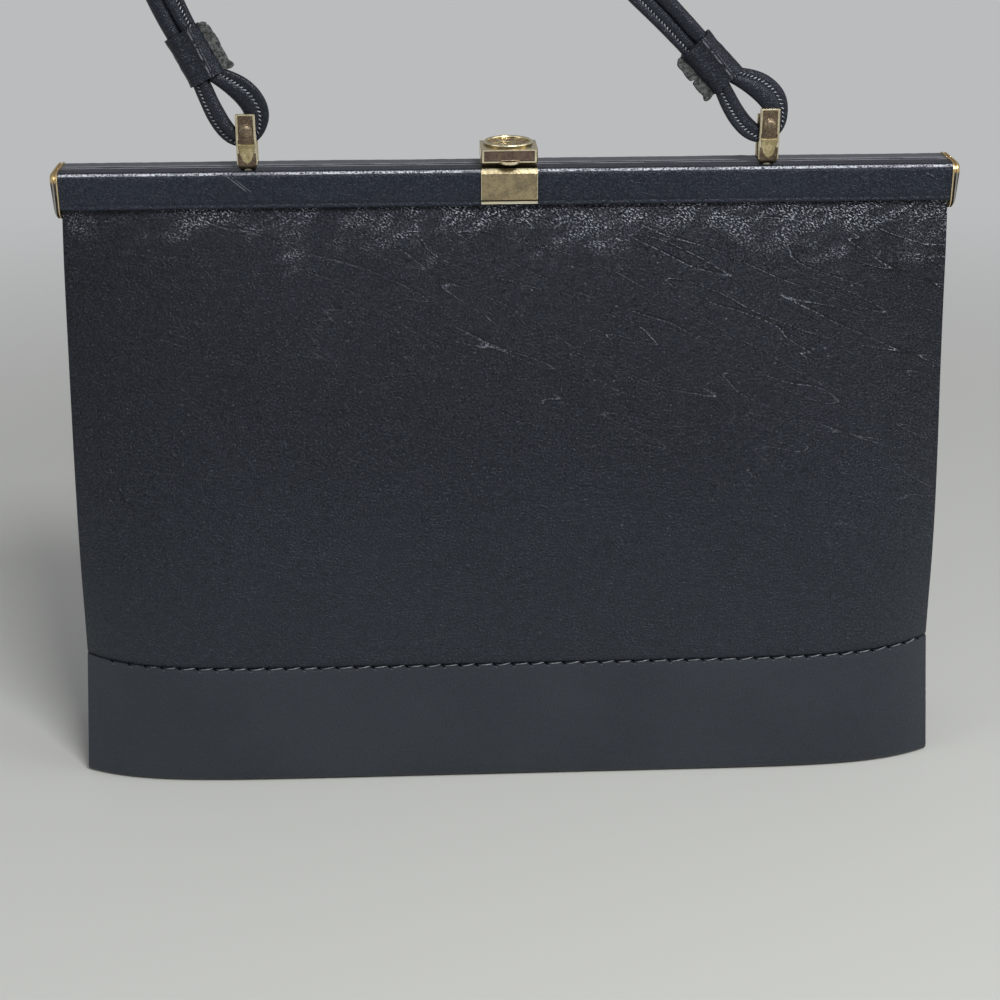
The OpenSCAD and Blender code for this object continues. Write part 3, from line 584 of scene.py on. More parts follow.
# The boards
# Grey millboard, cut to the walls and the base. They stay hidden behind the lining,
# and give the bag its flat faces.
board_finish = dull_finish(
    "millboard", lambda place: place.stretched(0.004, 0.0006, 0.0006).mottle(1.0, 3.0),
    (0.2, 0.18, 0.15), (0.36, 0.34, 0.3), rough=0.85, deep=0.0002)


def refinish(node, finish):
    """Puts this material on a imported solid."""
    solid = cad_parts[node]
    for slot in solid.material_slots:
        slot.material = finish
    if not solid.material_slots:
        solid.data.materials.append(finish)


for node in ("front_board", "back_board", "base_board"):
    refinish(node, board_finish)


# The lining
# Black ribbed rayon, drawn smooth over the boards and turned in at the top. A slip
# pocket of the same cloth is sewn flat on the back wall.
lining_thick = 0.0007
lining_sunk = 0.0052
lining_low, lining_top = 0.0049, 0.1365
rib_wide = 0.0013
pocket_low, pocket_high, pocket_half = 0.050, 0.120, 0.065

lining_finish, shader, wire = start_finish("lining_cloth")
flat = wire.node("ShaderNodeUVMap")
rib = flat.node("ShaderNodeTexWave", {"bands_direction": "Y"},
                {"Vector": flat, "Scale": 0.5 / rib_wide, "Distortion": 0.4,
                 "Detail": 1.0})
weave = flat.stretched(0.0003, 0.0008).mottle(1.0, 1.0)
emboss(shader, rib * 0.7 + weave * 0.3, 0.00015)
faded = flat.mottle(0.03, 3.0).over(0.3, 0.7)
plug(shader, "Base Color", faded.mix((0.012, 0.012, 0.015), (0.022, 0.022, 0.027)))
shader.inputs["Roughness"].default_value = 0.6
shader.inputs["Sheen Weight"].default_value = 0.15


def inner_half(z, deep):
    """Half the width that the folded ends leave to a sheet this deep in the bag."""
    z = min(z, gusset_high)
    share = clip((edge_depth(z) - deep) / (edge_depth(z) - leather_thick - 0.0002))
    low = clip((z - gusset_low) / (gusset_high - gusset_low))
    return between(fold_line(low), gusset_out(z), share ** 1.2) - gusset_thick - 0.0006


def lining_place(side):
    def place(u, v):
        z = between(lining_low, lining_top, v)
        x = inner_half(z, lining_sunk + lining_thick) * math.sin(math.pi * (u - 0.5))
        slack = 0.00015 * (1 + ripple(x, z, side * 5, 0.02))
        depth = wall_depth(x, z) - lining_sunk - slack
        return Vector((side * x, -side * depth, z))
    return place


def flat_size(piece):
    """How wide and long the cloth of a piece lies flat."""
    spots = [spot.uv for spot in piece.data.uv_layers.active.data]
    return tuple(max(spot[i] for spot in spots) - min(spot[i] for spot in spots)
                 for i in (0, 1))


for side, name in ((1, "front"), (-1, "back")):
    lining = lay_grid(name + "_lining_cloth", 60, 40, lining_place(side))
    cut = flat_size(lining)
    thicken(lining, lining_thick * 0.7, lining_finish)
    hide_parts(name + "_lining")
    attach(lining, "bag")


def floor_place(u, v):
    half = gusset_out(gusset_low) - gusset_thick - 0.0006
    x = half * math.sin(math.pi * (u - 0.5))
    deep = wall_depth(x, 0.0) - 0.0062
    return Vector((x, deep * (2 * v - 1), 0.0047 + 0.0001 * ripple(x, v, 9, 0.02)))


floor_cloth = lay_grid("base_lining_cloth", 60, 16, floor_place)
cut = flat_size(floor_cloth)
thicken(floor_cloth, lining_thick * 0.7, lining_finish)
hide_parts("base_lining")
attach(floor_cloth, "bag")


def pocket_place(u, v):
    z = between(pocket_low, pocket_high, v)
    x = pocket_half * (2 * u - 1)
    loose = 0.0006 * clip((v - 0.5) * 2) * math.cos(math.pi * (u - 0.5))
    depth = wall_depth(x, z) - lining_sunk - lining_thick - 0.0001 - loose
    return Vector((-x, depth, z))


pocket = lay_grid("slip_pocket_cloth", 40, 24, pocket_place)
cut = flat_size(pocket)
thicken(pocket, lining_thick * 0.8, lining_finish)
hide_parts("slip_pocket")
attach(pocket, "bag")


# The leather facings
# A strip of thin leather behind each wall covers the boards' ends inside the mouth,
# and goes up into the frame with the wall.
facing_low, facing_top, facing_half = 0.152, 0.1969, 0.1324
facing_thick = 0.0012

facing_leather = leather_finish("facing_leather", (0.008, 0.010, 0.013),
                                (0.013, 0.015, 0.019), grain=0.8, pits=0.5)


def facing_place(side):
    def place(u, v):
        z = between(facing_low, facing_top, v)
        x = facing_half * math.sin(math.pi * (u - 0.5))
        return Vector((side * x, -side * (wall_depth(x, z) - leather_thick - 0.0004), z))
    return place


for side, name in ((1, "front"), (-1, "back")):
    facing = lay_grid(name + "_mouth_strip", 60, 16, facing_place(side))
    thicken(facing, facing_thick, facing_leather)
    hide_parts(name + "_facing")
    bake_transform(facing)


# The frame's leather
# Thin smooth calf is pasted round each half of the frame and turned in under it. The top
# front edge is worn and carries a painted highlight, and a fold line runs along the foot
# of the band.
bar_front, bar_back = 0.0085, 0.00015
bar_top = 0.202
bar_round = 0.002
bar_half = 0.1385
bar_thick = 0.0008


def arc(middle, radius, start, turn, steps):
    """Points along an arc, from this angle on by this many degrees."""
    angles = [math.radians(start + turn * i / steps) for i in range(steps + 1)]
    return [(middle[0] + radius * math.cos(angle), middle[1] + radius * math.sin(angle))
            for angle in angles]


def bar_profile():
    """Depth in front of the middle plane, and height, up the front and down behind."""
    path = [(bar_front - 0.0017, rim_z), (bar_front - 0.0009, rim_z)]
    path += arc((bar_front - 0.0005, rim_z + 0.0005), 0.0005, -90, 90, 4)
    groove = rim_z + 0.0014
    path += [(bar_front, groove - 0.0005), (bar_front - 0.00018, groove - 0.00012),
             (bar_front - 0.00018, groove + 0.00012), (bar_front, groove + 0.0005)]
    path += [(bar_front, between(groove + 0.0005, bar_top - bar_round, i / 8))
             for i in range(1, 8)]
    path += arc((bar_front - bar_round, bar_top - bar_round), bar_round, 0, 90, 8)
    path += [(between(bar_front - bar_round, bar_back + 0.0005, i / 6), bar_top)
             for i in range(1, 6)]
    path += arc((bar_back + 0.0005, bar_top - 0.0005), 0.0005, 90, 90, 4)
    path += [(bar_back, between(bar_top - 0.0005, rim_z + 0.0003, i / 4))
             for i in range(1, 5)]
    return path + [(bar_back + 0.0003, rim_z), (bar_back + 0.0017, rim_z)]


bar_path = bar_profile()


def bar_place(side):
    def place(u, v):
        x = bar_half * (2 * u - 1)
        deep, z = bar_path[round(v * (len(bar_path) - 1))]
        corner = clip(1 - math.hypot(deep - bar_front, z - bar_top) / 0.004)
        shown = 1.0 if deep > 0.003 and z > rim_z + 0.0006 else 0.2
        uneven = (0.00006 * ripple(x, z, side * 11, 0.009)
                  + 0.00012 * corner * ripple(x, z, side * 13, 0.0028)
                  + 0.00006 * ripple(x, z, side * 17, 0.05)) * shown
        return Vector((side * x, -side * (deep + uneven), z + uneven * (deep < 0.0075)))
    return place


def scuff(spot, start, end, wide):
    """A straight scuff on the front, between two places along it and up it."""
    x, y, z = parts(spot)
    length = math.dist(start, end)
    way_x, way_z = (end[0] - start[0]) / length, (end[1] - start[1]) / length
    x, z = x - start[0], z - start[1]
    along = x * way_x + z * way_z
    return (near(x * way_z - z * way_x, 0.0, wide / 2, wide)
            * near(along, length / 2, length / 2 - 0.0006, length / 2)
            * (0 - y).over(0.0, 0.001))


def worn_and_lit_edge(flat, place, tint, height):
    """The top edges are rubbed pale in specks, the front one partly wear and partly a
    painted highlight. The top of the back half is painted lighter as painted light, and a
    few scuffs cross the front.
    """
    spot = own_place(flat)
    x, y, z = parts(spot)
    deep = y.sum("ABSOLUTE", y)
    specks = spot.mottle(0.0007, 2.0)
    thread = spot.stretched(0.012, 0.002, 0.002).mottle(1.0, 2.0).over(0.36, 0.52)
    rounded = deep - bar_front - (z - bar_top)
    front = (near(rounded, 0.0, 0.0004, 0.0009) * deep.over(0.0066, 0.0070)
             * specks.over(0.30, 0.62) * (thread * 0.6 + 0.4))
    inner = (near(deep, 0.0011, 0.0003, 0.0007) * z.over(0.2010, 0.2014)
             * (thread * 0.6 + 0.4))
    behind = y.over(0.0012, 0.0016) * z.over(0.2010, 0.2014)
    scuffs = (scuff(spot, (-0.0878, 0.2015), (-0.0807, 0.1956), 0.0003)
              + scuff(spot, (-0.0866, 0.2015), (-0.0795, 0.1956), 0.0002)
              + scuff(spot, (0.1300, 0.1993), (0.1330, 0.1980), 0.0003))
    grime = place.mottle(0.0009, 3.0, 0.75).over(0.46, 0.66)
    tint = (grime * 0.7).mix(tint, (0.032, 0.037, 0.047))
    # Wear and painted highlight: pale specks along the rounded front top edge.
    tint = front.mix(tint, (0.62, 0.64, 0.69))
    # Painted light: the top of the back half is painted lighter.
    tint = (behind * 0.8).mix(tint, (0.10, 0.105, 0.12))
    tint = (inner * 0.9).mix(tint, (0.30, 0.31, 0.34))
    tint = (scuffs * specks.over(0.35, 0.5) * 0.7).mix(tint, (0.13, 0.14, 0.16))
    return tint, height + front * 0.5 + scuffs * 0.6


frame_leather = leather_finish("frame_leather", (0.006, 0.0078, 0.0135),
                               (0.010, 0.0125, 0.0195), grain=0.6, pits=0.15,
                               rough=(0.3, 0.42), worn=worn_and_lit_edge)
for side, name in ((1, "front"), (-1, "back")):
    bar = lay_grid(name + "_bar_leather", 300, len(bar_path) - 1, bar_place(side))
    thicken(bar, bar_thick, frame_leather)
    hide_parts(name + "_cover")
    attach(bar, name + "_frame")


# The frame's steel
# Folded channels inside the leather, with arms that go down inside the bag's ends to
# the hinge rivets. Bright zinc plate, dulled by age.
steel_finish, shader, wire = start_finish("plated_steel")
place = own_place(wire)
stain = place.mottle(0.006, 4.0)
plug(shader, "Base Color", stain.over(0.35, 0.7).mix((0.34, 0.34, 0.35),
                                                     (0.55, 0.55, 0.55)))
plug(shader, "Roughness", stain * 0.25 + 0.25)
emboss(shader, place.mottle(0.0008, 2.0), 0.00003)
shader.inputs["Metallic"].default_value = 1.0
for node in ("front_channel", "back_channel", "clasp_spring", "clasp_pin"):
    refinish(node, steel_finish)


# The brass
# All fittings are pressed from brass sheet and gilt. Fine scratches cross the plates,
# and the gilding has gone olive where fingers touch it.
def brass_finish(name, bright, dull, rough=(0.22, 0.42), pitted=0.0):
    finish, shader, wire = start_finish(name)
    place = own_place(wire)
    worn = place.mottle(0.004, 4.0, 0.6)
    hair = place.stretched(0.00012, 0.003, 0.003, 35).mottle(1.0, 2.0)
    speck = place.mottle(0.0005, 2.0)
    tarnish = worn * 0.6 + place.mottle(0.0007, 2.0, 0.7) * 0.4
    plug(shader, "Base Color", tarnish.over(0.38, 0.62).mix(bright, dull))
    plug(shader, "Roughness", worn.over(0.3, 0.7) * (rough[1] - rough[0]) + rough[0]
         + hair * 0.06)
    emboss(shader, hair * 0.25 + speck * (0.4 + pitted) + worn * 0.4, 0.00006)
    shader.inputs["Metallic"].default_value = 1.0
    return finish


gilt = brass_finish("gilt_brass", (0.80, 0.61, 0.31), (0.58, 0.43, 0.22))
for node in ("left_hinge_rivet", "right_hinge_rivet", "clasp_base", "clasp_catch"):
    refinish(node, gilt)


# The end caps
# Two gilt plates, one on the other, close each end of each half. They are rounded at
# the top and hang a little below the leather band.
cap_front, cap_low, cap_high = 0.0090, 0.1875, 0.2025


def cap_outline(inset):
    """Points round a cap, as depth in front of the middle plane, and height."""
    front, back = cap_front - inset, bar_back + min(inset, 0.0002)
    low, high = cap_low + inset, cap_high - inset
    corners = ((back, low, 0.0003, 180), (front, low, 0.0036 - inset, 270),
               (front, high, 0.0030 - inset, 0), (back, high, 0.0003, 90))
    path = []
    for depth, z, corner, start in corners:
        corner = max(corner, 0.0002)
        middle = (depth + (corner if depth == back else -corner),
                  z + (corner if z == low else -corner))
        path += arc(middle, corner, start, 90, 8)
    return path


# How far out of the end each ring of points lies, and how far in from the outline.
cap_layers = ((0.0, 0.0012), (0.0, 0.0001), (0.0001, 0.0), (0.0004, 0.0), (0.0005, 0.0001),
              (0.00052, 0.0006), (0.0011, 0.0006), (0.00112, 0.0002), (0.0012, 0.0001),
              (0.0015, 0.0001), (0.00165, 0.0003), (0.0020, 0.0005), (0.0022, 0.0007),
              (0.0024, 0.0011), (0.0025, 0.0018))


def sew(piece, ends=True):
    """Merges the seam of a tube laid from a grid, and fills its ends where they shut."""
    only(piece)
    bpy.ops.object.mode_set(mode="EDIT")
    bpy.ops.mesh.select_all(action="SELECT")
    bpy.ops.mesh.remove_doubles(threshold=0.000002)
    if ends:
        bpy.ops.mesh.select_all(action="DESELECT")
        bpy.ops.mesh.select_mode(type="EDGE")
        bpy.ops.mesh.select_non_manifold(extend=False)
        bpy.ops.mesh.edge_face_add()
        bpy.ops.mesh.select_all(action="SELECT")
    bpy.ops.mesh.normals_make_consistent(inside=False)
    bpy.ops.object.mode_set(mode="OBJECT")


def cap_place(end, side):
    def place(u, v):
        out, inset = cap_layers[round(v * (len(cap_layers) - 1))]
        outline = cap_outline(inset)
        depth, z = outline[round(u * len(outline)) % len(outline)]
        slim = 1 - 0.35 * clip((0.198 - z) / 0.0105)
        return Vector((end * (bar_half + 0.00005 + out * slim), -side * depth, z))
    return place


# The top corners are painted bright gold as a painted highlight where light from above
# falls; below, the plate is dark tarnish, with a grey strip and a gilt line along the
# leather.
cap_finish, shader, wire = start_finish("cap_brass")
spot = own_place(wire)
x, y, z = parts(spot)
out = x.sum("ABSOLUTE", x) - bar_half
worn = spot.mottle(0.0014, 3.0, 0.6)
tarnish = worn.over(0.35, 0.65).mix((0.05, 0.042, 0.035), (0.14, 0.12, 0.095))
tarnish = near(out, 0.0014, 0.0002, 0.0004).mix(tarnish, (0.42, 0.40, 0.37))
tarnish = (1 - out.over(0.0004, 0.0006)).mix(tarnish, (0.80, 0.66, 0.40))
lit_top_gold = (z + (worn - 0.5) * 0.002).over(0.1988, 0.1998)
plug(shader, "Base Color", lit_top_gold.mix(tarnish, (0.78, 0.60, 0.31)))
plug(shader, "Roughness", worn * 0.3 + 0.2)
emboss(shader, spot.stretched(0.0002, 0.003, 0.003, 20).mottle(1.0, 2.0), 0.00004)
shader.inputs["Metallic"].default_value = 1.0

for end, x_name in ((-1, "left"), (1, "right")):
    for side, name in ((1, "front"), (-1, "back")):
        cap = lay_grid(f"{name}_{x_name}_plate", len(cap_outline(0)),
                       len(cap_layers) - 1, cap_place(end, side))
        sew(cap)
        smooth(cap, 35)
        cap.data.materials.append(cap_finish)
        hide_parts(f"{name}_{x_name}_cap")
        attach(cap, name + "_frame")


# The clasp's front plate
# A strip of brass bent over the top of the front half. A bright bevel crosses it at the
# bend, and a groove above its foot. Its top, under the flap, is painted dark as the flap's
# painted shadow.
plate_face, plate_back = 0.0093, 0.0086
plate_low, plate_top = 0.1912, 0.2028
clasp_half = 0.0088

plate_gilt = brass_finish("plate_gilt", (0.46, 0.37, 0.22), (0.26, 0.22, 0.14),
                          rough=(0.3, 0.45), pitted=2.0)
plate_rim = brass_finish("plate_rim", (1.0, 0.95, 0.72), (0.85, 0.76, 0.52),
                         rough=(0.25, 0.4))
# Painted shadow: dark brass for the plate's top, under the flap.
plate_flap_shadow = brass_finish("plate_flap_shadow", (0.22, 0.20, 0.13), (0.12, 0.11, 0.07))
black_brass = brass_finish("black_brass", (0.03, 0.025, 0.02), (0.06, 0.05, 0.035),
                           rough=(0.5, 0.6))


def choose(piece, wanted):
    """Goes into edit mode with only the faces selected that pass wanted(face)."""
    only(piece)
    bpy.ops.object.mode_set(mode="EDIT")
    bpy.ops.mesh.select_mode(type="FACE")
    bpy.ops.mesh.select_all(action="DESELECT")
    bpy.ops.object.mode_set(mode="OBJECT")
    for face in piece.data.polygons:
        face.select = wanted(face)
    bpy.ops.object.mode_set(mode="EDIT")


def block(name, low, high):
    """A block between two corners, with its place in its mesh."""
    bpy.ops.object.select_all(action="DESELECT")
    low, high = Vector(low), Vector(high)
    bpy.ops.mesh.primitive_cube_add(size=1, location=(low + high) / 2)
    piece = bpy.context.object
    piece.name = piece.data.name = name
    piece.scale = high - low
    bpy.ops.object.transform_apply(location=True, rotation=True, scale=True)
    return piece


def round_edges(piece, width, angle=40):
    """Bevels the edges that turn by more than this angle."""
    shape(piece, "BEVEL", width=width, segments=2, limit_method="ANGLE",
          angle_limit=math.radians(angle))


# Up the front, over the bevel and the shoulder, and back along the inside.
bevel_low, bevel_high = 0.20075, 0.2017
plate_path = [(-plate_face, plate_low)]
plate_path += [(sunk - plate_face, plate_low + up)
               for up, sunk in ((0.0008, 0.0), (0.0009, 0.0003), (0.0012, 0.0003),
                                (0.0013, 0.0))]
plate_path += [(-plate_face, bevel_low), (-0.0088, bevel_high), (-0.0084, 0.2022),
               (-0.0076, 0.2026), (-0.0066, 0.20275), (-0.00025, plate_top),
               (-0.00025, 0.2021), (-0.0066, 0.2021), (-0.00755, 0.2018),
               (-0.00827, 0.2011), (-plate_back, 0.2001), (-plate_back, plate_low)]
corners = len(plate_path)
mesh = bpy.data.meshes.new("clasp_front_plate")
mesh.from_pydata([(x, y, z) for x in (-clasp_half, clasp_half) for y, z in plate_path], [],
                 [(i, (i + 1) % corners, corners + (i + 1) % corners, corners + i)
                  for i in range(corners)]
                 + [tuple(range(corners))[::-1], tuple(range(corners, 2 * corners))])
plate = bpy.data.objects.new("clasp_front_plate", mesh)
bpy.context.scene.collection.objects.link(plate)
sew(plate, ends=False)
round_edges(plate, 0.0003)
smooth(plate, 20)
for finish in (plate_gilt, plate_rim, black_brass, plate_flap_shadow):
    plate.data.materials.append(finish)
for face in plate.data.polygons:
    middle, normal = face.center, face.normal
    if (normal.y < -0.5 and normal.z > 0.5 and middle.z < bevel_high + 0.0001) \
            or (abs(middle.x) > clasp_half - 0.0004 and normal.y < -0.3) \
            or (middle.z < plate_low + 0.00075 and normal.y < -0.5):
        face.material_index = 1
    if normal.y < -0.5 and plate_low + 0.00085 < middle.z < plate_low + 0.00125:
        face.material_index = 2
    # The top faces get the flap's painted shadow.
    if middle.z > bevel_high + 0.0001 and normal.z > 0.1:
        face.material_index = 3
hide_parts("clasp_plate")
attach(plate, "front_frame")


# The clasp's flap
# A shallow box of brass that lifts on a pin behind. Its front is sunk inside a bright
# rim, and a half-moon lip below it is for the thumb.
flap_front, flap_end = 0.00895, 0.0051
flap_low, flap_top = 0.2041, 0.2081
pin_y, pin_z = 0.00695, 0.2053
knuckle_round = 0.00185


def barrel(sides, radius, long, middle, turn=(0, 0, 0)):
    """A cylinder round this middle."""
    bpy.ops.object.select_all(action="DESELECT")
    bpy.ops.mesh.primitive_cylinder_add(vertices=sides, radius=radius, depth=long,
                                        location=middle, rotation=turn)
    bpy.ops.object.transform_apply(location=True, rotation=True, scale=True)
    return bpy.context.object


flap_gilt = brass_finish("flap_gilt", (1.0, 0.90, 0.66), (0.80, 0.68, 0.44))
flap_inset = brass_finish("flap_inset", (0.24, 0.175, 0.135), (0.13, 0.09, 0.075),
                          rough=(0.4, 0.55), pitted=0.5)

flap = block("flap_box", (-clasp_half, -flap_front, flap_low),
             (clasp_half, flap_end, flap_top))
only(flap)
bpy.ops.object.mode_set(mode="EDIT")
bpy.ops.mesh.select_mode(type="EDGE")
bpy.ops.mesh.select_all(action="DESELECT")
bpy.ops.object.mode_set(mode="OBJECT")
for edge in flap.data.edges:
    ends = [flap.data.vertices[i].co for i in edge.vertices]
    edge.select = abs(ends[0].z - ends[1].z) > 0.003
bpy.ops.object.mode_set(mode="EDIT")
bpy.ops.mesh.bevel(offset=0.0006, segments=4, profile=0.5)
bpy.ops.object.mode_set(mode="OBJECT")
choose(flap, lambda face: face.normal.y < -0.99)
bpy.ops.mesh.inset(thickness=0.0004, depth=0)
bpy.ops.mesh.inset(thickness=0.00015, depth=-0.0003)
bpy.ops.object.mode_set(mode="OBJECT")
for finish in (flap_gilt, flap_inset, black_brass):
    flap.data.materials.append(finish)
for face in flap.data.polygons:
    if face.select:
        face.material_index = 1
    elif 0.00005 < face.center.y + flap_front < 0.00025:
        face.material_index = 2
choose(flap, lambda face: face.normal.z < -0.9 and face.center.z < flap_low + 0.0005)
bpy.ops.mesh.inset(thickness=0.0008, depth=0)
bpy.ops.mesh.extrude_region_move(TRANSFORM_OT_translate={"value": (0, 0, 0.0032)})
bpy.ops.object.mode_set(mode="OBJECT")
round_edges(flap, 0.00022)
smooth(flap, 25)

lip = barrel(40, 0.0032, 0.0008, (0, -flap_front - 0.0001, flap_low + 0.0004))
lip.name = lip.data.name = "thumb_lip"
only(lip)
bpy.ops.object.mode_set(mode="EDIT")
bpy.ops.mesh.select_all(action="SELECT")
bpy.ops.mesh.bisect(plane_co=(0, -flap_front + 0.0007, 0), plane_no=(0, 1, 0),
                    use_fill=True, clear_outer=True)
bpy.ops.object.mode_set(mode="OBJECT")
choose(lip, lambda face: abs(face.normal.z) > 0.9)
bpy.ops.mesh.inset(thickness=0.0005, depth=0, use_individual=True)
bpy.ops.mesh.inset(thickness=0.0001, depth=-0.0002, use_individual=True)
bpy.ops.object.mode_set(mode="OBJECT")
round_edges(lip, 0.00015)
smooth(lip, 30)
for finish in (flap_gilt, black_brass):
    lip.data.materials.append(finish)
for face in lip.data.polygons:
    if face.normal.z > 0.9 and (face.center.xy + Vector((0, flap_front))).length < 0.0026:
        face.material_index = 1

knuckle = barrel(40, knuckle_round, 0.0081, (0, pin_y, pin_z), (0, math.radians(90), 0))
knuckle.name = knuckle.data.name = "flap_knuckle"
choose(knuckle, lambda face: face.normal.z > 0.75 and abs(face.normal.x) < 0.1
       and face.center.z > pin_z)
bpy.ops.mesh.extrude_region_move(TRANSFORM_OT_translate={"value": (0, -0.0008, 0.0010)})
bpy.ops.object.mode_set(mode="OBJECT")
round_edges(knuckle, 0.00015, 50)
smooth(knuckle, 30)
knuckle.data.materials.append(flap_gilt)

for piece in (flap, lip, knuckle):
    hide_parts("clasp_flap")
    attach(piece, "clasp_flap")


# The ring and its dish
# A turned ring stands on the flap round a dished disc, which is hammered and rubbed to
# a brighter gold.
ring_gilt, shader, wire = start_finish("ring_gilt")
spot = own_place(wire)
z = parts(spot)[2]
worn = spot.mottle(0.003, 3.0)
shade = worn.over(0.35, 0.65).mix((0.34, 0.27, 0.13), (0.16, 0.12, 0.06))
# Painted highlight: the ring's top is painted pale gold; below it the ring is darker, as
# painted shade.
plug(shader, "Base Color", z.over(0.20885, 0.2090).mix(shade, (0.95, 0.85, 0.56)))
plug(shader, "Roughness", worn * 0.2 + 0.2)
emboss(shader, spot.mottle(0.0006, 2.0), 0.00004)
shader.inputs["Metallic"].default_value = 1.0
refinish("clasp_ring", ring_gilt)

dish_gilt, shader, wire = start_finish("dish_gilt")
place = own_place(wire)
dents = place.node("ShaderNodeTexVoronoi", {"feature": "SMOOTH_F1"},
                   {"Vector": place, "Scale": 1 / 0.0022, "Smoothness": 0.6})
shade = place.mottle(0.0018, 2.0)
emboss(shader, dents, 0.0006)
plug(shader, "Base Color", shade.over(0.35, 0.65).mix((0.86, 0.70, 0.38),
                                                      (0.45, 0.31, 0.17)))
plug(shader, "Roughness", shade * 0.2 + 0.18)
shader.inputs["Metallic"].default_value = 1.0
refinish("clasp_dish", dish_gilt)


# The bails
# A strip of gilt brass bent into a narrow U on its swivel stud. The front leg is sunk
# round the rivet's head. The sink, the foot and the middle of the leg below are painted
# dark as painted shade, and below the rivet a bright shield is painted on as a painted
# reflection.
bail_x = 0.0805
cord_y = -0.004325
bail_wide = 0.0061
bail_outer, bail_thick = 0.0030, 0.0010
bail_foot, bail_top, back_top = 0.2020, 0.2195, 0.2170
recess_low, recess_high = 0.2104, 0.2188
shield_low, shield_tip, shield_tall = 0.2044, 0.2046, 0.0065
rivet_z = 0.2145

bail_gilt = brass_finish("bail_gilt", (0.86, 0.78, 0.55), (0.60, 0.52, 0.33))
# Painted shade: dark brass for the sink, the foot and the leg's middle.
bail_painted_shade = brass_finish("bail_shade", (0.24, 0.18, 0.12), (0.10, 0.075, 0.055),
                         rough=(0.4, 0.55), pitted=1.0)
# Painted reflection: the bright shield below the rivet.
bail_reflection = brass_finish("bail_reflection", (0.74, 0.62, 0.36), (0.36, 0.30, 0.15),
                           rough=(0.3, 0.42), pitted=1.0)


def bail_path():
    """The outer face of the strip, from the front leg's top round to the back one's."""
    middle = bail_foot + bail_outer
    path = [(-bail_outer, between(bail_top, middle, i / 28)) for i in range(29)]
    path += arc((0, middle), bail_outer, 180, 180, 24)[1:]
    path += [(bail_outer, between(middle, back_top, i / 10)) for i in range(1, 11)]
    return path


def shield_share(up):
    """The shield's half width at this height above its tip, as a share."""
    return math.sqrt(1 - (1 - clip(up / shield_tall)) ** 2)


strip_path = bail_path()
strip_columns = (-1, -0.9, -0.82, -0.76, -0.4, 0.0, 0.4, 0.76, 0.82, 0.9, 1)


def bail_place(u, v):
    y, z = strip_path[round((1 - v) * (len(strip_path) - 1))]
    column = strip_columns[round(u * (len(strip_columns) - 1))]
    foot = clip((0.2045 - z) / 0.0024)
    half = bail_wide / 2 * (1 + 0.03 * clip((0.2165 - z) / 0.008)) * (1 - 0.3 * foot ** 2)
    if 0.1 < abs(column) < 0.85 and y < 0:
        column *= 0.12 + 0.88 * shield_share(z - shield_tip)
    return Vector((column * half, y, z))


strip = lay_grid("bail_strip", len(strip_columns) - 1, len(strip_path) - 1, bail_place)
shape(strip, "SOLIDIFY", thickness=bail_thick, offset=-1)
for finish in (bail_gilt, bail_painted_shade, bail_reflection):
    strip.data.materials.append(finish)
# The shield gets the painted reflection; the rest of the leg's middle and the foot get the
# painted shade.
for face in strip.data.polygons:
    spot = face.center
    if face.normal.y < -0.5 and spot.z < 0.2118:
        shield = (abs(spot.x) < 0.0024 * shield_share(spot.z - shield_low)
                  and spot.z < 0.2106)
        face.material_index = 2 if shield else 1 if abs(spot.x) < 0.0025 else 0
    if spot.z < 0.2040:
        face.material_index = 1
choose(strip, lambda face: face.normal.y < -0.5 and abs(face.center.x) < 0.0023
       and face.center.y < -bail_outer + 0.0006
       and recess_low < face.center.z < recess_high)
bpy.ops.mesh.inset(thickness=0.00008, depth=-0.0004)
bpy.ops.object.mode_set(mode="OBJECT")
for face in strip.data.polygons:
    if face.select:
        face.material_index = 1
round_edges(strip, 0.00022, 38)
smooth(strip, 30)

stud = barrel(32, 0.0015, 0.006, (0, 0, 0.2006))
choose(stud, lambda face: face.normal.z < -0.9)
bpy.ops.mesh.extrude_region_shrink_fatten()
bpy.ops.transform.resize(value=(1.4, 1.4, 1))
bpy.ops.mesh.extrude_region_move(TRANSFORM_OT_translate={"value": (0, 0, -0.0004)})
bpy.ops.object.mode_set(mode="OBJECT")
stud.data.materials.append(bail_gilt)
smooth(stud, 30)
only(strip)
stud.select_set(True)
bpy.ops.object.join()


def copy_to(model, name, place):
    """A copy of a piece with its own mesh, moved to this place."""
    piece = model.copy()
    piece.data = model.data.copy()
    bpy.context.scene.collection.objects.link(piece)
    piece.name = piece.data.name = name
    piece.data.transform(Matrix.Translation(place))
    return piece


for x, name in ((-bail_x, "left"), (bail_x, "right")):
    bail = copy_to(strip, name + "_stirrup", (x, cord_y, 0))
    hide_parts(name + "_bail")
    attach(bail, name + "_bail")
bpy.data.objects.remove(strip)


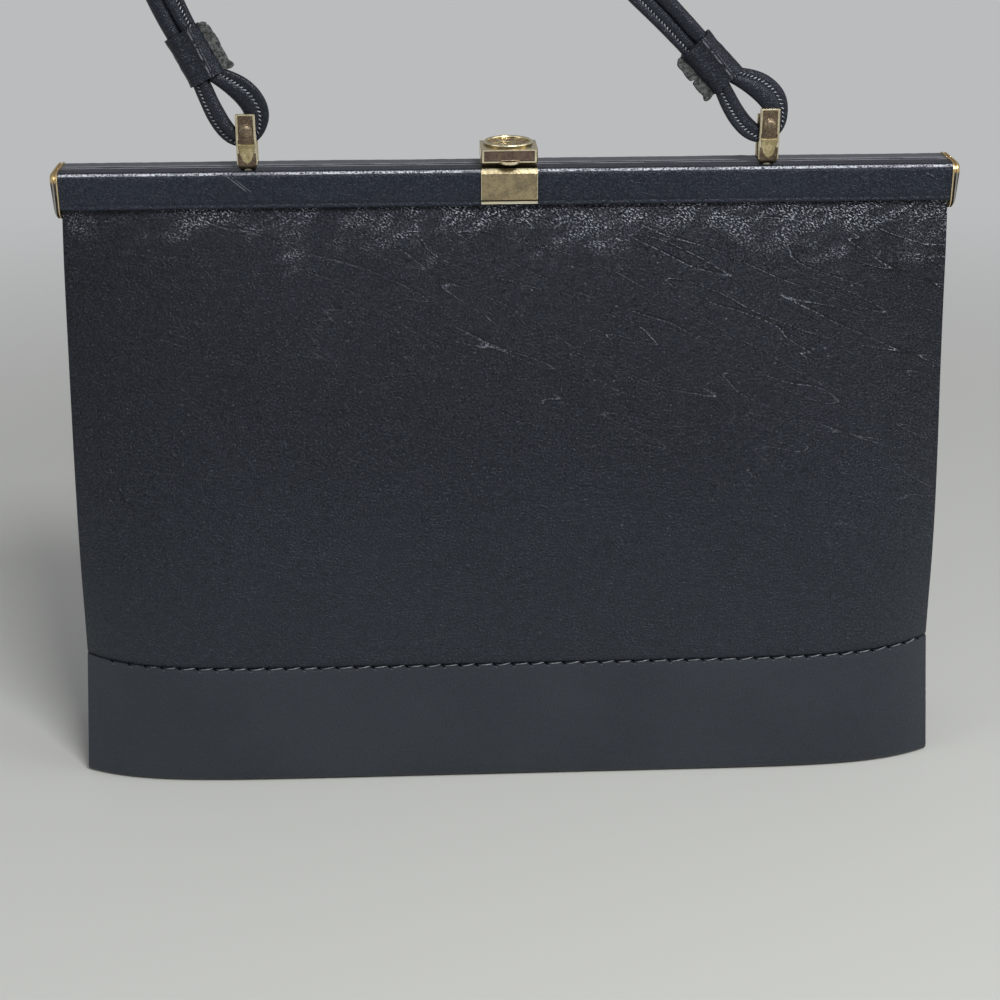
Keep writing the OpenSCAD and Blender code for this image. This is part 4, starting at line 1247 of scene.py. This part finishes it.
# The rivets through the bails
# Brass, snapped to a low dome at each end, which holds the cord's loop in its bail.
rivet = barrel(32, 0.0012, 0.0058, (0, 0, 0), (math.radians(90), 0, 0))
for way in (-1, 1):
    choose(rivet, lambda face: face.normal.y * way > 0.9)
    for widen, out in ((1.3, 0.0), (1.0, 0.0003), (0.8, 0.0003), (0.5, 0.00015)):
        bpy.ops.mesh.extrude_region_move(
            TRANSFORM_OT_translate={"value": (0, way * out, 0)})
        bpy.ops.transform.resize(value=(widen, 1, widen))
    bpy.ops.object.mode_set(mode="OBJECT")
round_edges(rivet, 0.0001, 50)
smooth(rivet, 45)
rivet_brass = brass_finish("rivet_brass", (0.34, 0.27, 0.18), (0.13, 0.10, 0.07),
                           rough=(0.3, 0.5), pitted=1.5)
rivet.data.materials.append(rivet_brass)
for x, name in ((-bail_x, "left"), (bail_x, "right")):
    pin = copy_to(rivet, name + "_domed_rivet", (x, cord_y, rivet_z))
    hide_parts(name + "_cross_rivet")
    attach(pin, name + "_bail")
bpy.data.objects.remove(rivet)


# The handle's cord
# Leather is rolled over a core and stitched close beside it, so that a narrow flange
# stands out of the roll. One length is looped round both rivets and lies double.
strand_off = 0.00245
keeper_away, keeper_long = 0.0265, 0.0155
left_shift, right_shift = -0.0026, -0.0007
left_lean, right_lean = math.radians(117), math.radians(133)
left_pull, right_pull = 0.100, 0.150


def beside(way):
    return Vector((way.y, -way.x))


left_pin, right_pin = Vector((-bail_x, rivet_z)), Vector((bail_x, rivet_z))
left_up = Vector((math.cos(left_lean), math.sin(left_lean)))
right_up = Vector((math.cos(right_lean), math.sin(right_lean)))
left_line = left_pin + left_shift * beside(left_up)
right_line = right_pin + right_shift * beside(right_up)
arch_from = left_line + left_up * (keeper_away + keeper_long / 2)
arch_to = right_line + right_up * (keeper_away + keeper_long / 2)
arch_left = arch_from + left_pull * left_up
arch_right = arch_to + right_pull * right_up


def arch(share):
    """The middle of the handle, on one soft curve from keeper to keeper."""
    rest = 1 - share
    return (rest ** 3 * arch_from + 3 * share * rest ** 2 * arch_left
            + 3 * share ** 2 * rest * arch_right + share ** 3 * arch_to)


def strand_path(side):
    """One strand, from inside one keeper to inside the other: its middle, then half its
    width and half its thickness."""
    path = []
    for i in range(5):
        start = left_line + left_up * (keeper_away + 0.002 + 0.005 * i / 5)
        path.append((start - side * strand_off * beside(left_up), 0.0024, 0.0020))
    for i in range(161):
        way = (arch(min(1, i / 160 + 0.002)) - arch(max(0, i / 160 - 0.002))).normalized()
        free = clip(min(i, 160 - i) / 8)
        off = strand_off + (0.0002 if side > 0 else -0.0001) * free
        path.append((arch(i / 160) - side * off * beside(way),
                     between(0.0026, 0.0033, free), between(0.0023, 0.0024, free)))
    for i in range(5):
        start = right_line + right_up * (keeper_away + 0.002 + 0.005 * (4 - i) / 5)
        path.append((start + side * strand_off * beside(right_up), 0.0024, 0.0020))
    return path


# The section: round roll, stitched throat, flange. Outwards first, then depth, as
# shares of half the strap's width and thickness.
section = []
for i in range(17):
    angle = math.radians(38 + 284 * i / 16)
    section.append((-0.30 + 0.70 * math.cos(angle), math.sin(angle)))
section += [(0.30, -0.42), (0.45, -0.52), (0.8, -0.5), (0.95, -0.34), (1.0, 0.0),
            (0.95, 0.34), (0.8, 0.5), (0.45, 0.52), (0.30, 0.42)]


def ways_of(path):
    last = len(path) - 1
    return [(path[min(i + 1, last)][0] - path[max(i - 1, 0)][0]).normalized()
            for i in range(last + 1)]


def on_cord(path, ways, outward, i, out, deep, twist):
    """A point beside the cord's middle, on a section that is twisted by this angle."""
    middle, wide, thick = path[i]
    out, deep = out * wide, deep * thick
    swung = (out * math.cos(twist) - deep * math.sin(twist),
             out * math.sin(twist) + deep * math.cos(twist))
    spot = middle + outward * swung[0] * beside(ways[i])
    return Vector((spot.x, cord_y + swung[1], spot.y))


cord_leather = leather_finish("cord_leather", (0.007, 0.0085, 0.012),
                              (0.016, 0.0185, 0.024), grain=0.5, pits=0.2,
                              rough=(0.28, 0.42))
cord_thread = dull_finish("cord_thread", lambda place: place.mottle(0.0005, 2.0),
                          (0.12, 0.13, 0.15), (0.5, 0.52, 0.55), rough=0.6,
                          deep=0.0001)

bpy.ops.object.select_all(action="DESELECT")
bpy.ops.mesh.primitive_ico_sphere_add(subdivisions=1, radius=0.5)
small_stitch = bpy.context.object
small_stitch.data.transform(Matrix.Diagonal((0.0017, 0.00045, 0.00045, 1)))
stitch_step = 0.0012


def lay_cord(name, path, outward, twist_at, phase):
    """The rolled leather along a path, and the stitches beside the roll."""
    ways = ways_of(path)
    last = len(path) - 1

    def place(u, v):
        i = round(v * last)
        out, deep = section[round(u * len(section)) % len(section)]
        soft = 1 + 0.04 * noise.noise(Vector((*path[i][0], phase)) * 160)
        return on_cord(path, ways, outward, i, out * soft, deep * soft,
                       twist_at(i / last))

    cord = lay_grid(name, len(section), last, place)
    sew(cord)
    smooth(cord, 60)
    cord.data.materials.append(cord_leather)

    places, run = [], 0.0
    for i in range(1, last):
        run += (path[i][0] - path[i - 1][0]).length
        while run > stitch_step:
            run -= stitch_step
            for face in (-1, 1):
                spot = on_cord(path, ways, outward, i, 0.33, face * 0.5,
                               twist_at(i / last))
                spot -= Vector((ways[i].x, 0, ways[i].y)) * run
                along = math.atan2(ways[i].y, ways[i].x)
                slant = math.radians(52 + 9 * math.sin(2.3 * len(places)))
                places.append(Matrix.Translation(spot)
                              @ Matrix.Rotation(-along - slant * face * outward, 4, "Y"))
    stitches = strew(name + "_stitches", small_stitch, places)
    stitches.data.materials.append(cord_thread)
    return cord, stitches


def inner_twist(share):
    return math.radians(-12 + 14 * math.sin(5 * share + 1))


def outer_twist(share):
    """The outer strand stands on edge at both ends, with its flange behind."""
    return math.radians(84 - 55 * math.sin(math.pi * share) ** 2)


for side, name, twist in ((-1, "inner", inner_twist), (1, "outer", outer_twist)):
    cord, stitches = lay_cord(name + "_cord", strand_path(side), -side, twist, 2.0 + side)
    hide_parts(name + "_strand")
    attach(cord, "handle")
    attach(stitches, "handle")


# The loops of the cord
# Below each keeper the two strands part and go round the rivet as one soft loop, with the
# flange outwards.
mouth = keeper_away - keeper_long / 2
loop_rise, loop_drop = 0.006, 0.0091
right_off, right_wide = 0.0054, 0.0045
left_off, left_wide = 0.0062, 0.0031


def loop_half(side):
    """From inside the keeper to the loop's widest place: across, up, and half the
    strap's width and thickness."""
    off, wide = (right_off, right_wide) if side > 0 else (left_off, left_wide)
    half = [(side * strand_off, keeper_away - 0.002 - 0.0055 * i / 4, 0.0024, 0.0020)
            for i in range(5)]
    for i in range(21):
        share = i / 20
        out = math.sin(math.pi / 2 * share)
        half.append((side * between(strand_off, off, out),
                     between(mouth, loop_rise, share),
                     between(0.0026, wide, out), between(0.0021, 0.0019, share)))
    return half


loop_shape = loop_half(1)
for i in range(1, 48):
    angle = math.pi * i / 48
    share = (1 + math.cos(angle)) / 2
    loop_shape.append((between(-left_off, right_off, share),
                       loop_rise - loop_drop * math.sin(angle),
                       between(between(left_wide, right_wide, share), 0.0018,
                               math.sin(angle) ** 2), 0.0019))
loop_shape += loop_half(-1)[::-1]

for pin, up, shift, name in ((left_pin, left_up, left_shift, "left"),
                             (right_pin, right_up, right_shift, "right")):
    path = []
    for x, y, wide, thick in loop_shape:
        share = clip(y / mouth)
        aside = shift * share ** 2 + 0.0006 * math.sin(math.pi * share)
        path.append((pin + (x + aside) * beside(up) + y * up, wide, thick))

    def loop_twist(share, way=1 if name == "right" else -1):
        return math.radians(way * 20 * math.sin(2 * math.pi * share))

    cord, stitches = lay_cord(name + "_loop_cord", path, -1, loop_twist,
                              0.6 + 2 * (name == "right"))
    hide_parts(name + "_loop")
    for piece in (cord, stitches):
        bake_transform(piece)
bpy.data.objects.remove(small_stitch)


# The keepers
# A band of thin leather is pasted round both strands. Its raw ends meet at the side in
# a fin that has frayed with use.
def pressed(flat, place, tint, height):
    """The stitches under the band press a double line up through it, raised in height and
    painted lighter as a painted highlight.
    """
    x, up = parts(flat)[:2]
    across = x + up * 0.05
    line = near(across, -0.0016, 0.0001, 0.0005) + near(across, -0.0025, 0.0, 0.0003)
    line = line * place.mottle(0.0011, 2.0).over(0.42, 0.55)
    return (line * 0.7).mix(tint, (0.2, 0.21, 0.24)), height + line


keeper_leather = leather_finish("keeper_leather", (0.006, 0.0072, 0.010),
                                (0.010, 0.0118, 0.016), grain=0.6, pits=0.4,
                                rough=(0.36, 0.5), worn=pressed)
raw_edge = dull_finish("raw_edge", lambda place: place.mottle(0.0011, 3.0, 0.75),
                       (0.018, 0.020, 0.021), (0.11, 0.115, 0.11), rough=0.9,
                       deep=0.0004, low=0.36, high=0.62)

band_deep = 0.0033
fin_reach = 0.0036


def band_outline():
    """Round the two strands, from the middle of the back by the right to the front."""
    right = [(strand_off * i / 5, band_deep - 0.0003 * math.cos(math.pi / 2 * i / 5))
             for i in range(5)]
    right += [(strand_off + band_deep * math.sin(math.pi * i / 14),
               band_deep * math.cos(math.pi * i / 14)) for i in range(15)]
    right += [(across, -deep) for across, deep in right[4:0:-1]]
    return right + [(-across, -deep) for across, deep in right]


band = band_outline()


def lay_keeper(name, line, up, fin_side):
    middle = line + up * keeper_away

    def put(across, deep, along):
        spot = middle + across * beside(up) + along * up
        return Vector((spot.x, cord_y + deep, spot.y))

    def place(u, v):
        across, deep = band[round(u * len(band)) % len(band)]
        along = keeper_long * (v - 0.5)
        soft = 0.00012 * noise.noise(Vector((across, deep, along)) * 400)
        flare = 1 + 0.03 * (2 * abs(v - 0.5)) ** 6 + soft / band_deep
        return put(across * flare, deep * flare, along + 3 * soft * (2 * v - 1))

    keeper = lay_grid(name + "_band", len(band), 22, place)
    sew(keeper, ends=False)
    thicken(keeper, 0.0008, keeper_leather)

    def fin_place(u, v):
        along = keeper_long * (v - 0.5) * 0.98
        reach = fin_reach * (1 - 0.12 * noise.noise(Vector((along * 260, fin_side, 1.7)))
                             - 0.6 * abs(2 * v - 1) ** 9)
        notch = noise.noise(Vector((along * 900, fin_side * 3, 4.1)))
        reach -= 0.0016 * clip(notch * 5 - 1.9)
        tuft = math.exp(-((v - 0.04) / 0.05) ** 2)
        reach += 0.0016 * tuft
        across = fin_side * (0.0050 + reach * u)
        wave = 0.0004 * math.sin(along * 700) * u + 0.0009 * tuft * u * u
        return put(across, wave - 0.0002, along - 0.0008 * tuft * u)

    fin = lay_grid(name + "_raw_edge", 8, 60, fin_place)
    shape(fin, "SOLIDIFY", thickness=0.0016, offset=0)
    shape(fin, "SUBSURF", levels=1, render_levels=1)
    for point in fin.data.vertices:
        rough = noise.noise_vector(point.co * 900)
        point.co += rough * 0.0001
    smooth(fin, 60)
    fin.data.materials.append(raw_edge)
    for piece in (keeper, fin):
        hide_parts(name + "_keeper")
        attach(piece, "handle")


lay_keeper("left", left_line, left_up, 1)
lay_keeper("right", right_line, right_up, -1)


# The floor and the light
# A plain pale floor that fades into an even pale background further off, one strong
# lamp above the front on the right, a weaker one at each side, and a dim even room.
bpy.ops.object.select_all(action="DESELECT")
bpy.ops.mesh.primitive_plane_add(size=12, location=(0, 0, 0))
ground = bpy.context.object
ground.name = "floor"
floor_finish, shader, wire = start_finish("floor_paper")
place = own_place(wire)
away = place.node("ShaderNodeVectorMath", {"operation": "LENGTH"}, {0: place}, out=1)
fade = away.over(0.25, 0.85)
plug(shader, "Base Color", fade.mix((0.60, 0.605, 0.57), (0.0, 0.0, 0.0)))
plug(shader, "Emission Color", fade.mix((0.0, 0.0, 0.0), (0.48, 0.485, 0.49)))
shader.inputs["Emission Strength"].default_value = 1.0
shader.inputs["Roughness"].default_value = 0.9
ground.data.materials.append(floor_finish)

world = bpy.data.worlds.new("room")
bpy.context.scene.world = world
world.use_nodes = True
sky = world.node_tree.nodes["Background"]
wire = Wire(world.node_tree)
seen = wire.node("ShaderNodeLightPath")
world.node_tree.links.new(seen.mix((0.26, 0.265, 0.28), (0.48, 0.485, 0.49)).socket,
                          sky.inputs["Color"])
sky.inputs["Strength"].default_value = 1.0


def lamp(name, place, target, wide, high, watts):
    bpy.ops.object.select_all(action="DESELECT")
    bpy.ops.object.light_add(type="AREA", location=place)
    light = bpy.context.object
    light.name = name
    light.data.shape = "RECTANGLE"
    light.data.size, light.data.size_y = wide, high
    light.data.energy = watts
    aim = Vector(target) - Vector(place)
    light.rotation_euler = aim.to_track_quat("-Z", "Y").to_euler()


lamp("overhead", (0.24, -0.66, 0.92), (0, 0, 0.15), 0.35, 0.25, 8)
lamp("left_side", (-1.0, -0.5, 0.6), (0, 0, 0.1), 0.5, 0.8, 2)
lamp("right_side", (1.0, -0.3, 0.7), (0, 0, 0.1), 0.5, 0.8, 3)

bpy.context.scene.view_settings.view_transform = "Standard"
